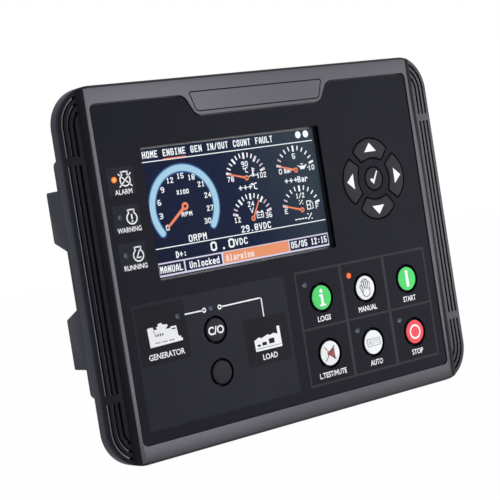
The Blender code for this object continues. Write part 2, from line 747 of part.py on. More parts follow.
def make_lenses():
    """Light pipes from the lamps on the key board to the face."""
    for name, place in lens_places().items():
        mat = plain_material("lens_" + name + "_clear", (0.45, 0.50, 0.55), 0.2)
        tip = circle(LENS_RADIUS * LENS_TIP_SHARE, place, SMALL_SIDES)
        body = circle(LENS_RADIUS, place, SMALL_SIDES)
        foot = circle(LENS_RADIUS + 2 * SEAT_GAP, place, SMALL_SIDES)
        front = SHEET_FRONT_Y - LENS_PROUD
        collar = WEB_BACK_Y + SEAT_GAP
        rings = [
            (tip, front),
            (body, front + LENS_PROUD + SEAT_GAP / 2),
            (body, collar),
            (foot, collar),
            (foot, KEY_BOARD_Y - CHIP_HEIGHT - SEAT_GAP),
        ]
        mesh_object("lens_" + name, [rings], mat)


def board_outline():
    """Both boards share the housing's inner outline."""
    inside = 2 * (HOUSING_WALL + BOARD_EDGE_GAP)
    return rounded_box(BODY_WIDTH - inside, BODY_HEIGHT - inside, BODY_CORNER)


def post_holes(front_y, back_y):
    """Clearance holes for the frame's posts."""
    return [prism(circle(POST_RADIUS + SEAT_GAP, p, SMALL_SIDES), front_y, back_y) for p in post_places()]


def make_boards():
    """The key board with its switches and lamps, and the main board behind it."""
    green = plain_material("board_green", (0.02, 0.14, 0.07), 0.45)
    keys = mesh_object("key_board", [prism(board_outline(), KEY_BOARD_Y, KEY_BOARD_BACK_Y)], green)
    parts = []
    half = SWITCH_SIDE / 2
    centres = [place for place, _, _ in round_keys().values()]
    centres += [scaled_about_middle(outline, 0.0)[0] for outline in arrow_keys().values()]
    for x, z in centres:
        parts.append(block((x - half, KEY_BOARD_Y - SWITCH_HEIGHT, z - half),
                           (x + half, KEY_BOARD_Y + BOARD_THICKNESS / 2, z + half)))
    for x, z in lens_places().values():
        parts.append(block((x - LENS_RADIUS, KEY_BOARD_Y - CHIP_HEIGHT, z - LENS_RADIUS),
                           (x + LENS_RADIUS, KEY_BOARD_Y + BOARD_THICKNESS / 2, z + LENS_RADIUS)))
    combine(keys, "switches", parts, "UNION")
    drilled = post_holes(KEY_BOARD_Y - CUT_OVER, KEY_BOARD_BACK_Y + CUT_OVER)
    combine(keys, "post_holes", drilled, "DIFFERENCE")

    main = mesh_object("main_board", [prism(board_outline(), MAIN_BOARD_Y, MAIN_BOARD_BACK_Y)], green)
    drilled = post_holes(MAIN_BOARD_Y - CUT_OVER, MAIN_BOARD_BACK_Y + CUT_OVER)
    combine(main, "post_holes", drilled, "DIFFERENCE")

    brass = plain_material("spacer_brass", (0.70, 0.52, 0.22), 0.35, metallic=1.0)
    front = KEY_BOARD_BACK_Y + SEAT_GAP
    back = MAIN_BOARD_Y - SEAT_GAP
    for i, place in enumerate(spacer_places(), 1):
        post = circle(SPACER_RADIUS, place, SPACER_SIDES)
        mesh_object(f"board_spacer_{i}", [prism(post, front, back)], brass)
    black = plain_material("link_black", (0.02, 0.02, 0.02), 0.5)
    half_x, half_z = LINK_SIZE[0] / 2, LINK_SIZE[1] / 2
    x, z = LINK_PLACE
    body = block((x - half_x, front, z - half_z), (x + half_x, back, z + half_z))
    mesh_object("board_link", [body], black)


def make_board_parts():
    """Relays, sounder and clock cell on the back of the main board."""
    front = MAIN_BOARD_BACK_Y + SEAT_GAP
    relay = plain_material("relay_blue", (0.05, 0.12, 0.32), 0.45)
    for i in range(RELAY_COUNT):
        x = RELAY_FIRST_X + i * RELAY_PITCH
        low = (x, front, RELAY_Z)
        high = (x + RELAY_SIZE[0], front + RELAY_SIZE[1], RELAY_Z + RELAY_SIZE[2])
        mesh_object(f"relay_{i + 1}", [block(low, high)], relay)
    black = plain_material("sounder_black", (0.02, 0.02, 0.02), 0.4)
    can = circle(BUZZER_RADIUS, BUZZER_PLACE)
    mesh_object("sounder", [prism(can, front, front + BUZZER_HEIGHT)], black)
    steel = plain_material("cell_steel", (0.60, 0.60, 0.58), 0.3, metallic=1.0)
    cell = circle(CELL_RADIUS, CELL_PLACE)
    mesh_object("clock_cell", [prism(cell, front, front + CELL_HEIGHT)], steel)


def tower_block(side, end):
    """One of the four towers on the back, as a stack of rings along Y with a slanted inner flank."""
    outer = side * BODY_WIDTH / 2
    inner = side * (BODY_WIDTH / 2 - TOWER_WIDTH)
    low_x, high_x = min(outer, inner), max(outer, inner)
    rings = []
    start = BACK_DEPTH - HOUSING_WALL / 2
    for y, slant in ((start, 0.0), (BACK_DEPTH, 0.0), (TOWER_DEPTH, TOWER_SLANT)):
        near = end * (TOWER_NEAR_Z + slant)
        far = end * TOWER_FAR_Z
        rings.append((box_outline(low_x, min(near, far), high_x, max(near, far)), y))
    return rings


def make_housing():
    """The rear shell: flange, body, raised back, four towers, vents and windows for the connectors."""
    mat = plain_material("housing_grey", (0.055, 0.06, 0.08), 0.6)
    housing = mesh_object("rear_housing", [prism(frame_outline(), FLANGE_FRONT_Y, FLANGE_BACK_Y)], mat)
    body = rounded_box(BODY_WIDTH, BODY_HEIGHT, BODY_CORNER)
    back = rounded_box(BODY_WIDTH, BACK_HEIGHT, BACK_CORNER)
    combine(housing, "body", [prism(body, FLANGE_BACK_Y - JOIN_OVERLAP, LEDGE_DEPTH)], "UNION")
    combine(housing, "back", [prism(back, LEDGE_DEPTH - JOIN_OVERLAP, BACK_DEPTH)], "UNION")
    towers = [tower_block(side, end) for side in (-1, 1) for end in (-1, 1)]
    combine(housing, "towers", towers, "UNION")

    mouth = frame_outline(SKIRT_INSET - 2 * SEAT_GAP)
    mouth_floor_y = FLANGE_BACK_Y - FLANGE_WALL
    combine(housing, "mouth", [prism(mouth, FLANGE_FRONT_Y - CUT_OVER, mouth_floor_y)], "DIFFERENCE")
    wall = 2 * HOUSING_WALL
    inside = rounded_box(BODY_WIDTH - wall, BODY_HEIGHT - wall, BODY_CORNER)
    combine(housing, "inside", [prism(inside, FLANGE_FRONT_Y, LEDGE_FLOOR_Y)], "DIFFERENCE")
    deep = rounded_box(BODY_WIDTH - wall, BACK_HEIGHT - wall, BACK_CORNER)
    deep_floor_y = BACK_DEPTH - HOUSING_WALL
    combine(housing, "deep", [prism(deep, LEDGE_FLOOR_Y - JOIN_OVERLAP, deep_floor_y)], "DIFFERENCE")

    cuts = []
    for place in post_places():
        cuts.append(prism(circle(SCREW_RADIUS + SEAT_GAP, place, SMALL_SIDES),
                          LEDGE_FLOOR_Y - CUT_OVER, LEDGE_DEPTH + CUT_OVER))
    for x, z, _ in terminal_places().values():
        half_x = header_length() / 2 + 2 * SEAT_GAP
        half_z = HEADER_DEPTH / 2 + 2 * SEAT_GAP
        cuts.append(block((x - half_x, LEDGE_FLOOR_Y - CUT_OVER, z - half_z),
                          (x + half_x, LEDGE_DEPTH + CUT_OVER, z + half_z)))
    combine(housing, "ledge_cuts", cuts, "DIFFERENCE")

    rear = []
    for side in (-1, 1):
        for i in range(VENT_COUNT):
            z = (i - (VENT_COUNT - 1) / 2) * VENT_PITCH
            slot = rounded_box(VENT_LENGTH, VENT_WIDTH, VENT_END_RADIUS, (side * VENT_X, z), SLOT_STEPS)
            rear.append(prism(slot, BACK_DEPTH - HOUSING_WALL - CUT_OVER, BACK_DEPTH + CUT_OVER))
    half_x = SOCKET_WIDTH / 2 + SEAT_GAP
    half_z = SOCKET_HEIGHT / 2 + SEAT_GAP
    rear.append(block((SOCKET_X - half_x, BACK_DEPTH - HOUSING_WALL - CUT_OVER, SOCKET_Z - half_z),
                      (SOCKET_X + half_x, BACK_DEPTH + CUT_OVER, SOCKET_Z + half_z)))
    combine(housing, "rear_cuts", rear, "DIFFERENCE")

    slots = []
    tower_mid_z = (TOWER_NEAR_Z + TOWER_SLANT + TOWER_FAR_Z) / 2
    for side in (-1, 1):
        for end in (-1, 1):
            x = side * (BODY_WIDTH - TOWER_WIDTH) / 2
            z = end * tower_mid_z
            low = (x - CLIP_SLOT_WIDTH / 2, TOWER_DEPTH - CLIP_SLOT_DEPTH, z - CLIP_SLOT_LENGTH / 2)
            high = (x + CLIP_SLOT_WIDTH / 2, TOWER_DEPTH + CUT_OVER, z + CLIP_SLOT_LENGTH / 2)
            slots.append(block(low, high))
    combine(housing, "clip_slots", slots, "DIFFERENCE")

    outer, inner = gasket_outlines(SEAT_GAP)
    depth = GASKET_THICKNESS - GASKET_PROUD + SEAT_GAP
    groove = hoop(outer, inner, FLANGE_BACK_Y - depth, FLANGE_BACK_Y + CUT_OVER)
    combine(housing, "gasket_groove", [groove], "DIFFERENCE")
    return housing


def gasket_outlines(gap=0.0):
    """Outer and inner lines of the gasket, midway between the body's wall and the flange's edge."""
    room_x = (FRAME_WIDTH - BODY_WIDTH) / 2
    room_z = (FRAME_HEIGHT - BODY_HEIGHT) / 2
    middle = min(room_x, room_z) / 2
    outer = frame_outline(middle - GASKET_WIDTH / 2 - gap)
    inner = frame_outline(middle + GASKET_WIDTH / 2 + gap)
    return outer, inner


def make_gasket():
    """A flat rubber ring that seals the flange to the panel."""
    mat = plain_material("gasket_rubber", (0.02, 0.02, 0.02), 0.8)
    outer, inner = gasket_outlines()
    mesh_object("panel_gasket", [hoop(outer, inner, -GASKET_THICKNESS, 0.0)], mat)


def screw_tip_y():
    """Where the fixing screws end inside their posts."""
    return LEDGE_DEPTH + SEAT_GAP - SCREW_LENGTH


def make_screws():
    """Pan-head screws through the ledge into the frame's posts."""
    mat = plain_material("screw_steel", (0.55, 0.55, 0.57), 0.35, metallic=1.0)
    seat = LEDGE_DEPTH + SEAT_GAP
    for i, place in enumerate(post_places(), 1):
        shank = circle(SCREW_RADIUS, place, SMALL_SIDES)
        head = circle(SCREW_HEAD_RADIUS, place, SMALL_SIDES)
        crown = circle(SCREW_HEAD_RADIUS * SCREW_CROWN_SHARE, place, SMALL_SIDES)
        rings = [
            (shank, screw_tip_y()),
            (shank, seat),
            (head, seat),
            (head, seat + SCREW_HEAD_HEIGHT * SCREW_SIDE_SHARE),
            (crown, seat + SCREW_HEAD_HEIGHT),
        ]
        mesh_object(f"housing_screw_{i}", [rings], mat, (place[0], seat, place[1]))


def header_length():
    """Length of one terminal header."""
    return TERMINAL_WAYS * TERMINAL_PITCH + 2 * HEADER_WALL


def make_terminals():
    """Headers soldered to the main board, and the plug-in screw terminals that sit in them."""
    header_mat = plain_material("header_green", (0.02, 0.22, 0.09), 0.5)
    plug_mat = plain_material("plug_green", (0.03, 0.30, 0.12), 0.5)
    front = MAIN_BOARD_BACK_Y + SEAT_GAP
    rim = front + HEADER_HEIGHT
    half = header_length() / 2
    for name, (x, z, side) in terminal_places().items():
        half_z = HEADER_DEPTH / 2
        body = block((x - half, front, z - half_z), (x + half, rim, z + half_z))
        header = mesh_object("header_" + name, [body], header_mat)
        wall = HEADER_WALL
        well = block((x - half + wall, rim - PLUG_NOSE - SEAT_GAP, z - half_z + wall),
                     (x + half - wall, rim + CUT_OVER, z + half_z - wall))
        combine(header, "well", [well], "DIFFERENCE")

        slim = wall + SEAT_GAP
        nose = block((x - half + slim, rim - PLUG_NOSE, z - half_z + slim),
                     (x + half - slim, rim + 2 * SEAT_GAP, z + half_z - slim))
        inner_z = z - side * half_z
        outer_z = inner_z + side * PLUG_DEPTH
        shell = block((x - half + wall, rim + SEAT_GAP, min(inner_z, outer_z)),
                      (x + half - wall, rim + SEAT_GAP + PLUG_HEIGHT, max(inner_z, outer_z)))
        plug = mesh_object("terminal_" + name, [shell], plug_mat)
        combine(plug, "nose", [nose], "UNION")
        holes = []
        top = rim + SEAT_GAP + PLUG_HEIGHT
        for way in range(TERMINAL_WAYS):
            hole_x = x + (way - (TERMINAL_WAYS - 1) / 2) * TERMINAL_PITCH
            low_y = rim + SEAT_GAP + WIRE_HOLE_LIFT
            deep_z = outer_z - side * WIRE_HOLE_DEPTH
            past_z = outer_z + side * CUT_OVER
            holes.append(block((hole_x - WIRE_HOLE / 2, low_y, min(deep_z, past_z)),
                               (hole_x + WIRE_HOLE / 2, low_y + WIRE_HOLE, max(deep_z, past_z))))
            spot = (hole_x, (inner_z + outer_z) / 2)
            well = circle(CLAMP_HOLE_RADIUS, spot, CLAMP_SIDES)
            holes.append(prism(well, top - CLAMP_HOLE_DEPTH, top + CUT_OVER))
        combine(plug, "holes", holes, "DIFFERENCE")


def make_socket():
    """The square service socket that stands on the main board and shows at the back."""
    mat = plain_material("socket_steel", (0.62, 0.62, 0.64), 0.3, metallic=1.0)
    front = MAIN_BOARD_BACK_Y + SEAT_GAP
    half_x, half_z = SOCKET_WIDTH / 2, SOCKET_HEIGHT / 2
    low = (SOCKET_X - half_x, front, SOCKET_Z - half_z)
    high = (SOCKET_X + half_x, BACK_DEPTH, SOCKET_Z + half_z)
    shell = mesh_object("service_socket", [block(low, high)], mat)
    wall = SOCKET_WALL
    well = block((SOCKET_X - half_x + wall, BACK_DEPTH - SOCKET_MOUTH_DEPTH, SOCKET_Z - half_z + wall),
                 (SOCKET_X + half_x - wall, BACK_DEPTH + CUT_OVER, SOCKET_Z + half_z - wall))
    combine(shell, "well", [well], "DIFFERENCE")
    return shell


def main():
    clear_scene()
    make_front_frame()
    make_sheet()
    make_display()
    make_keys()
    make_lenses()
    make_boards()
    make_board_parts()
    make_housing()
    make_gasket()
    make_screws()
    make_terminals()
    make_socket()


main()
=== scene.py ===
# %% [markdown]
# # A generating-set controller, dressed in Blender
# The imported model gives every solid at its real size. This lesson adds what a camera sees:
# moulded edges, rubber keys, printed legends and the lit display. We start by loading the packed
# model, because each piece below takes its place from a box of that model.

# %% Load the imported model
import math

import bmesh
import bpy
from mathutils import Matrix, Vector


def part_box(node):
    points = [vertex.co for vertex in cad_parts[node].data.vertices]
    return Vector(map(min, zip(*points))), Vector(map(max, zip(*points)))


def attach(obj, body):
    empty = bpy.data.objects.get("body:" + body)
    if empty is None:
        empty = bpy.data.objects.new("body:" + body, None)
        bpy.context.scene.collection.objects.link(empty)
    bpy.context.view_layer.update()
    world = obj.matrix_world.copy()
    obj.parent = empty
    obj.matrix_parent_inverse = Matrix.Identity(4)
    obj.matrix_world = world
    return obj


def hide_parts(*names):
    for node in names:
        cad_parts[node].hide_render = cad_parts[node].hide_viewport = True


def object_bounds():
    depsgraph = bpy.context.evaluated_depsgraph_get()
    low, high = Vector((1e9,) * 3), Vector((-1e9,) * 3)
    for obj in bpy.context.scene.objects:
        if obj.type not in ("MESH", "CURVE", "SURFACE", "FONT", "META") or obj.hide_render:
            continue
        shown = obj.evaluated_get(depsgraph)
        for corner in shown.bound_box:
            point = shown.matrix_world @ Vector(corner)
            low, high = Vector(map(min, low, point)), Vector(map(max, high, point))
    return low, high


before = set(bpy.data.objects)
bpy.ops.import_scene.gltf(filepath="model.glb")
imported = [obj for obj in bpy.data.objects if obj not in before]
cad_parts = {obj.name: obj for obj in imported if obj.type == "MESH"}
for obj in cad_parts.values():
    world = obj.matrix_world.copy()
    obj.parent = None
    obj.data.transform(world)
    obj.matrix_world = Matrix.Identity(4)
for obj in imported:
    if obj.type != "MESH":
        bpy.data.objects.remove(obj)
cad_low, cad_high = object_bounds()
MM = 0.001
CASE = "controller"
print("packed size in mm:", [round(x / MM, 1) for x in cad_high - cad_low])

# %% A helper for new objects


def put(name, data):
    """A new object that holds the data, linked into the scene."""
    made = bpy.data.objects.new(name, data)
    bpy.context.scene.collection.objects.link(made)
    return made


print("new pieces go into the", bpy.context.scene.collection.name)

# %% [markdown]
# ## Camera
# The photograph was taken from the left and a little above, with a long lens that leans slightly.
# A camera is easiest to read as a place, a point it looks at and a roll, so we keep those three.

# %% Place the camera
CAMERA_PLACE = Vector((-392.61, -507.43, 24.70)) * MM
CAMERA_AIM = Vector((-18.99, -9.0, 0.73)) * MM
CAMERA_ROLL = -8.945
LENS_MM = 102.19
SENSOR_MM = 36.0


def place_camera():
    """A camera from a place, a target and a roll about its own view line."""
    data = bpy.data.cameras.new("product_camera")
    data.lens = LENS_MM
    data.sensor_width = SENSOR_MM
    data.dof.use_dof = False
    camera = put("product_camera", data)
    level = (CAMERA_AIM - CAMERA_PLACE).to_track_quat("-Z", "Y")
    turn = level.to_matrix().to_4x4() @ Matrix.Rotation(math.radians(CAMERA_ROLL), 4, "Z")
    camera.matrix_world = Matrix.Translation(CAMERA_PLACE) @ turn
    bpy.context.scene.camera = camera
    return camera


print("camera stands at", [round(x, 3) for x in place_camera().location])

# %% [markdown]
# ## Light, floor and background
# A black product shows its form by what it mirrors. Three soft lamps stand side by side where the
# flat strips of the face mirror them towards the left, so the strips turn grey while every sloping
# face beside them stays dark. Two weaker lamps light the left end and the top, and the world fills
# the rest evenly. The background is white by its colour alone: camera, glossy and transmission
# rays see it.

# %% Lamps
LAMPS = {
    "mirror_softbox": ((900, -800, -10), (900, 0, -10), 1200, 560, 10.8),
    "mirror_lift": ((400, -790, -10), (400, 0, -10), 320, 560, 1.9),
    "mirror_strip": ((1250, -780, -30), (1250, 0, -30), 260, 400, 2.8),
    "side_softbox": ((-780, -60, 160), (-60, 10, 0), 420, 420, 0.6),
    "top_softbox": ((-60, -260, 720), (0, 0, 0), 420, 320, 1.4),
}


def add_lamp(name, place, aim, width, height, watts):
    """One rectangular soft lamp that faces its target; sizes are in millimetres."""
    data = bpy.data.lights.new(name, "AREA")
    data.shape = "RECTANGLE"
    data.size = width * MM
    data.size_y = height * MM
    data.energy = watts
    lamp = put(name, data)
    lamp.location = Vector(place) * MM
    lamp.rotation_euler = (Vector(aim) * MM - lamp.location).to_track_quat("-Z", "Y").to_euler()


for lamp_name, lamp_facts in LAMPS.items():
    add_lamp(lamp_name, *lamp_facts)
print(len(LAMPS), "soft lamps")

# %% Helpers for nodes


def plug(tree, node, plugs):
    """Sets a node's inputs, each to a value or by a link from another node's socket."""
    for key, value in plugs.items():
        if isinstance(value, bpy.types.NodeSocket):
            tree.links.new(value, node.inputs[key])
        else:
            node.inputs[key].default_value = value


def add_node(tree, kind, plugs=None, **settings):
    """A new node with its settings made and its inputs plugged."""
    node = tree.nodes.new(kind)
    for label, value in settings.items():
        setattr(node, label, value)
    plug(tree, node, plugs or {})
    return node


def reckon(tree, operation, *values):
    """The result of one Math node on values and sockets."""
    return add_node(tree, "ShaderNodeMath", dict(enumerate(values)), operation=operation).outputs[0]


def object_parts(tree, kind="Object"):
    """A node that splits a texture coordinate into X, Y and Z."""
    place = add_node(tree, "ShaderNodeTexCoord")
    return add_node(tree, "ShaderNodeSeparateXYZ", {0: place.outputs[kind]})


def new_material(name):
    """A new material, its node tree and its Principled shader."""
    mat = bpy.data.materials.new(name)
    mat.use_nodes = True
    return mat, mat.node_tree, mat.node_tree.nodes["Principled BSDF"]


print("nodes are added with their inputs in one call")

# %% World and floor
FILL_LEVEL = 0.14
WHITE_SHARE = 0.99
FLOOR_DROP = 220 * MM
FLOOR_SIZE = 12.0
FLOOR_PAPER = (0.62, 0.62, 0.62, 1)
PLAIN_WHITE = (1, 1, 1, 1)


def seen_directly(tree):
    """A socket that is 1 for camera, glossy and transmission rays."""
    path = add_node(tree, "ShaderNodeLightPath")
    seen = path.outputs["Is Camera Ray"]
    for ray in ("Is Glossy Ray", "Is Transmission Ray"):
        seen = reckon(tree, "MAXIMUM", seen, path.outputs[ray])
    return seen


def make_world():
    """Even fill light for the object, and white where a ray sees the world itself."""
    world = bpy.data.worlds.new("studio")
    world.use_nodes = True
    tree = world.node_tree
    tree.nodes.clear()
    fill = add_node(tree, "ShaderNodeBackground", {"Color": PLAIN_WHITE, "Strength": FILL_LEVEL})
    white = add_node(tree, "ShaderNodeBackground", {"Color": PLAIN_WHITE})
    seen = seen_directly(tree)
    mix = add_node(tree, "ShaderNodeMixShader", {0: seen, 1: fill.outputs[0], 2: white.outputs[0]})
    add_node(tree, "ShaderNodeOutputWorld", {0: mix.outputs[0]})
    bpy.context.scene.world = world


def make_floor():
    """A pale floor under the object, mostly white to the camera so that only a faint shadow shows."""
    bpy.ops.mesh.primitive_plane_add(size=FLOOR_SIZE, location=(0, 0, cad_low.z - FLOOR_DROP))
    floor = bpy.context.object
    floor.name = "studio_floor"
    mat, tree, _ = new_material("floor_white")
    tree.nodes.clear()
    paper = add_node(tree, "ShaderNodeBsdfDiffuse", {"Color": FLOOR_PAPER})
    glow = add_node(tree, "ShaderNodeEmission")
    share = reckon(tree, "MULTIPLY", seen_directly(tree), WHITE_SHARE)
    mix = add_node(tree, "ShaderNodeMixShader", {0: share, 1: paper.outputs[0], 2: glow.outputs[0]})
    add_node(tree, "ShaderNodeOutputMaterial", {0: mix.outputs[0]})
    floor.data.materials.append(mat)


make_world()
make_floor()
bpy.context.scene.view_settings.view_transform = "Standard"
print("white studio with the floor", round(FLOOR_DROP / MM), "mm under the object")

# %% [markdown]
# ## Finishes
# Moulded plastic is never one flat colour: its grain scatters light, and its gloss drifts a little
# from place to place. One helper builds that from two noise textures on Object coordinates: a fine
# one for the bump and the roughness, and a broad one that shifts the colour.

# %% A helper for grained materials
BROAD_SCALE = 60.0
RELIEF_DEPTH = 0.02 * MM


def grained(name, colour, roughness, grain=0.25, bump=0.15, drift=0.08, metallic=0.0, specular=0.5):
    """A Principled material whose colour and roughness drift and whose surface has a fine grain in mm."""
    mat, tree, shader = new_material(name)
    place = add_node(tree, "ShaderNodeTexCoord").outputs["Object"]
    broad = add_node(tree, "ShaderNodeTexNoise", {"Vector": place, "Scale": BROAD_SCALE, "Detail": 4.0})
    fine = add_node(tree, "ShaderNodeTexNoise", {"Vector": place, "Scale": 1.0 / (grain * MM), "Detail": 2.0})
    ramp = add_node(tree, "ShaderNodeValToRGB", {"Fac": broad.outputs["Fac"]})
    for stop, position, change in zip(ramp.color_ramp.elements, (0.3, 0.7), (1 - drift, 1 + drift)):
        stop.position = position
        stop.color = (*[min(1.0, c * change) for c in colour], 1)
    rough = add_node(tree, "ShaderNodeMapRange", {
        "Value": fine.outputs["Fac"],
        "To Min": roughness * (1 - drift),
        "To Max": roughness * (1 + drift),
    })
    relief = add_node(tree, "ShaderNodeBump", {
        "Height": fine.outputs["Fac"],
        "Strength": bump,
        "Distance": RELIEF_DEPTH,
    })
    plug(tree, shader, {
        "Base Color": ramp.outputs["Color"],
        "Roughness": rough.outputs["Result"],
        "Normal": relief.outputs["Normal"],
        "Metallic": metallic,
        "Specular IOR Level": specular,
    })
    return mat


# %% Finishes that change with a face's direction, with painted light on the side faces


def slope_value(tree, axis, low, high, start, end):
    """Goes from start to end while a face's normal grows from low to high along an axis."""
    size = reckon(tree, "ABSOLUTE", object_parts(tree, "Normal").outputs[axis])
    return add_node(tree, "ShaderNodeMapRange", {
        "Value": size,
        "From Min": low,
        "From Max": high,
        "To Min": start,
        "To Max": end,
    }).outputs["Result"]


def roughen_sides(mat, colour, roughness):
    """Faces that look neither forwards nor backwards get a lighter bluish colour, which is painted light, and
    the rougher finish of a sparked mould.
    """
    tree = mat.node_tree
    shader = tree.nodes["Principled BSDF"]
    share = slope_value(tree, "Y", 0.2, 0.5, 1.0, 0.0)
    for label, kind, side in (("Base Color", "RGBA", (*colour, 1)), ("Roughness", "FLOAT", roughness)):
        front = shader.inputs[label].links[0].from_socket
        mix = add_node(tree, "ShaderNodeMix", {"Factor": share, "A": front, "B": side}, data_type=kind)
        plug(tree, shader, {label: mix.outputs["Result"]})


def dull_slopes(mat, specular):
    """Faces that slope sideways, such as the wings, keep less gloss than the flat front."""
    tree = mat.node_tree
    shader = tree.nodes["Principled BSDF"]
    flat = shader.inputs["Specular IOR Level"].default_value
    plug(tree, shader, {"Specular IOR Level": slope_value(tree, "X", 0.03, 0.08, flat, specular)})


# %% The object's finishes
PRINT = {"roughness": 0.5, "grain": 0.3, "bump": 0.08, "specular": 0.04}
RUBBER = {"roughness": 0.45, "grain": 0.12, "bump": 0.12, "specular": 0.1}
FRAME_BLACK = grained("frame_satin_black", (0.009, 0.009, 0.012), 0.19, grain=0.18, bump=0.05, specular=0.26)
FRAME_BLACK.node_tree.nodes["Principled BSDF"].inputs["Specular Tint"].default_value = (0.88, 0.87, 1.0, 1)
# The frame's side faces and groove walls are painted lighter here: painted light, with a rougher finish.
roughen_sides(FRAME_BLACK, (0.030, 0.036, 0.060), 0.55)
dull_slopes(FRAME_BLACK, 0.08)
SHEET_PRINT = grained("sheet_satin_print", (0.0085, 0.0085, 0.0150), **PRINT)
FIELD_PRINT = grained("field_grey_print", (0.0190, 0.0190, 0.0290), **PRINT)
TILE_PRINT = grained("tile_dark_print", (0.0115, 0.0115, 0.0155), **PRINT)
LINE_PRINT = grained("line_grey_print", (0.034, 0.034, 0.042), 0.5, grain=0.3, bump=0.06, specular=0.04)
WHITE_PRINT = grained("legend_white_print", (0.92, 0.93, 0.95), 0.5, 0.2, bump=0.05, drift=0.03, specular=0.1)
KEY_BLACK = grained("key_black_rubber", (0.010, 0.010, 0.015), 0.45, grain=0.12, bump=0.2, specular=0.08)
KEY_GREEN = grained("key_green_rubber", (0.075, 0.66, 0.15), drift=0.05, **RUBBER)
KEY_WHITE = grained("key_white_rubber", (0.84, 0.86, 0.87), drift=0.02, **RUBBER)
KEY_RED = grained("key_red_rubber", (0.84, 0.075, 0.10), drift=0.05, **RUBBER)
HOUSING_GREY = grained("housing_spark_grey", (0.027, 0.032, 0.054), 0.55,
                       grain=0.35, bump=0.5, drift=0.12, specular=0.25)
GASKET_FOAM = grained("gasket_foam", (0.015, 0.015, 0.015), 0.85, grain=0.4, bump=0.6)
BOARD_MASK = grained("board_solder_mask", (0.012, 0.11, 0.05), 0.35, grain=0.5, bump=0.2)
BRASS = grained("spacer_turned_brass", (0.70, 0.52, 0.22), 0.3, grain=0.2, metallic=1.0)
PART_BLACK = grained("part_black", (0.02, 0.02, 0.02), 0.4, grain=0.2)
RELAY_BLUE = grained("relay_blue_case", (0.03, 0.09, 0.28), 0.3, grain=0.2)
BRIGHT_STEEL = grained("plated_steel", (0.60, 0.60, 0.62), 0.28, grain=0.15, bump=0.25, metallic=1.0)
HEADER_GREEN = grained("header_green_nylon", (0.015, 0.17, 0.06), 0.45, grain=0.2, bump=0.25)
PLUG_GREEN = grained("plug_green_nylon", (0.02, 0.24, 0.08), 0.45, grain=0.2, bump=0.25)
DARK_RED_PRINT = grained("horn_dark_red_print", (0.16, 0.012, 0.015), 0.5, drift=0.1)
INK_PRINT = grained("hand_ink_print", (0.02, 0.02, 0.02), 0.5, drift=0.1)
FAINT_PRINT = grained("faint_grey_print", (0.40, 0.41, 0.42), 0.5, drift=0.05, specular=0.1)
print(len(bpy.data.materials), "materials so far")

# %% [markdown]
# ## Lit surfaces
# A display shines by itself, so its colours are emission. Its face has a grid of pixels a fifth of
# a millimetre apart; two sine waves across the face stand for the thin dark lines between them.

# %% A helper for what shines
PIXEL = 0.199 * MM
UNLIT_GLASS = (0.004, 0.004, 0.006, 1)


def glowing(name, colour, strength=1.0, grid=0.06):
    """An emissive material with a faint pixel grid."""
    mat, tree, shader = new_material(name)
    parts = object_parts(tree)
    waves = [reckon(tree, "SINE", reckon(tree, "MULTIPLY", parts.outputs[axis], 2 * math.pi / PIXEL))
             for axis in ("X", "Z")]
    shade = add_node(tree, "ShaderNodeMapRange", {
        "Value": reckon(tree, "ADD", *waves),
        "From Min": -2.0,
        "From Max": 2.0,
        "To Min": 1.0 - grid,
    })
    plugs = {"Factor": shade.outputs["Result"], "A": (0, 0, 0, 1), "B": (*colour, 1)}
    tint = add_node(tree, "ShaderNodeMix", plugs, data_type="RGBA")
    plug(tree, shader, {
        "Base Color": UNLIT_GLASS,
        "Roughness": 0.4,
        "Specular IOR Level": 0.02,
        "Emission Strength": strength,
        "Emission Color": tint.outputs["Result"],
    })
    return mat


# %% Display colours
SCREEN_WHITE = glowing("screen_white", (0.93, 0.96, 1.0), strength=1.1)
SCREEN_BLUE = glowing("screen_light_blue", (0.42, 0.69, 0.86))
SCREEN_DEEP = glowing("screen_deep_blue", (0.045, 0.15, 0.38))
SCREEN_ORANGE = glowing("screen_orange", (0.93, 0.27, 0.13))
SCREEN_PINK = glowing("screen_pink", (0.80, 0.55, 0.66))
SCREEN_FRAME = glowing("screen_frame_lilac", (0.74, 0.70, 0.88))
SCREEN_PALE = glowing("screen_pale_rose", (1.0, 0.82, 0.78))
SCREEN_DARK = glowing("screen_cell_navy", (0.006, 0.009, 0.045))
LAMP_LIT = glowing("lamp_lit_orange", (0.86, 0.13, 0.02), strength=1.1, grid=0.0)
LAMP_RED = glowing("lamp_lit_red", (1.0, 0.12, 0.04), strength=1.1, grid=0.0)
LAMP_OFF = grained("lamp_unlit_smoke", (0.022, 0.032, 0.058), 0.25,
                   grain=0.3, bump=0.05, drift=0.2, specular=0.15)
print("display pixels are", round(PIXEL / MM, 3), "mm apart")

# %% [markdown]
# ## Outlines and solids
# Most pieces of a moulded case are flat outlines pushed back through some depths. So the helpers
# make an outline from arcs, grow or shift it, and stack rings of it along Y into a closed solid.

# %% Helpers for outlines


def arc(centre, radius, start_deg, end_deg, steps):
    """Points along an arc, both ends included."""
    turns = [math.radians(start_deg + (end_deg - start_deg) * i / steps) for i in range(steps + 1)]
    return [(centre[0] + radius * math.cos(a), centre[1] + radius * math.sin(a)) for a in turns]


def circle(radius, centre=(0.0, 0.0), sides=72):
    """A round outline."""
    return arc(centre, radius, 0, 360, sides)[:-1]


def box_outline(low_x, low_z, high_x, high_z):
    """A plain rectangle."""
    return [(low_x, low_z), (high_x, low_z), (high_x, high_z), (low_x, high_z)]


def rounded_box(width, height, radius, centre=(0.0, 0.0), steps=8):
    """A rectangle with round corners."""
    reach_x, reach_z = width / 2 - radius, height / 2 - radius
    points = []
    corners = ((reach_x, reach_z), (-reach_x, reach_z), (-reach_x, -reach_z), (reach_x, -reach_z))
    for quarter, (x, z) in enumerate(corners):
        turn = 90 * quarter
        points += arc((centre[0] + x, centre[1] + z), radius, turn, turn + 90, steps)
    return points


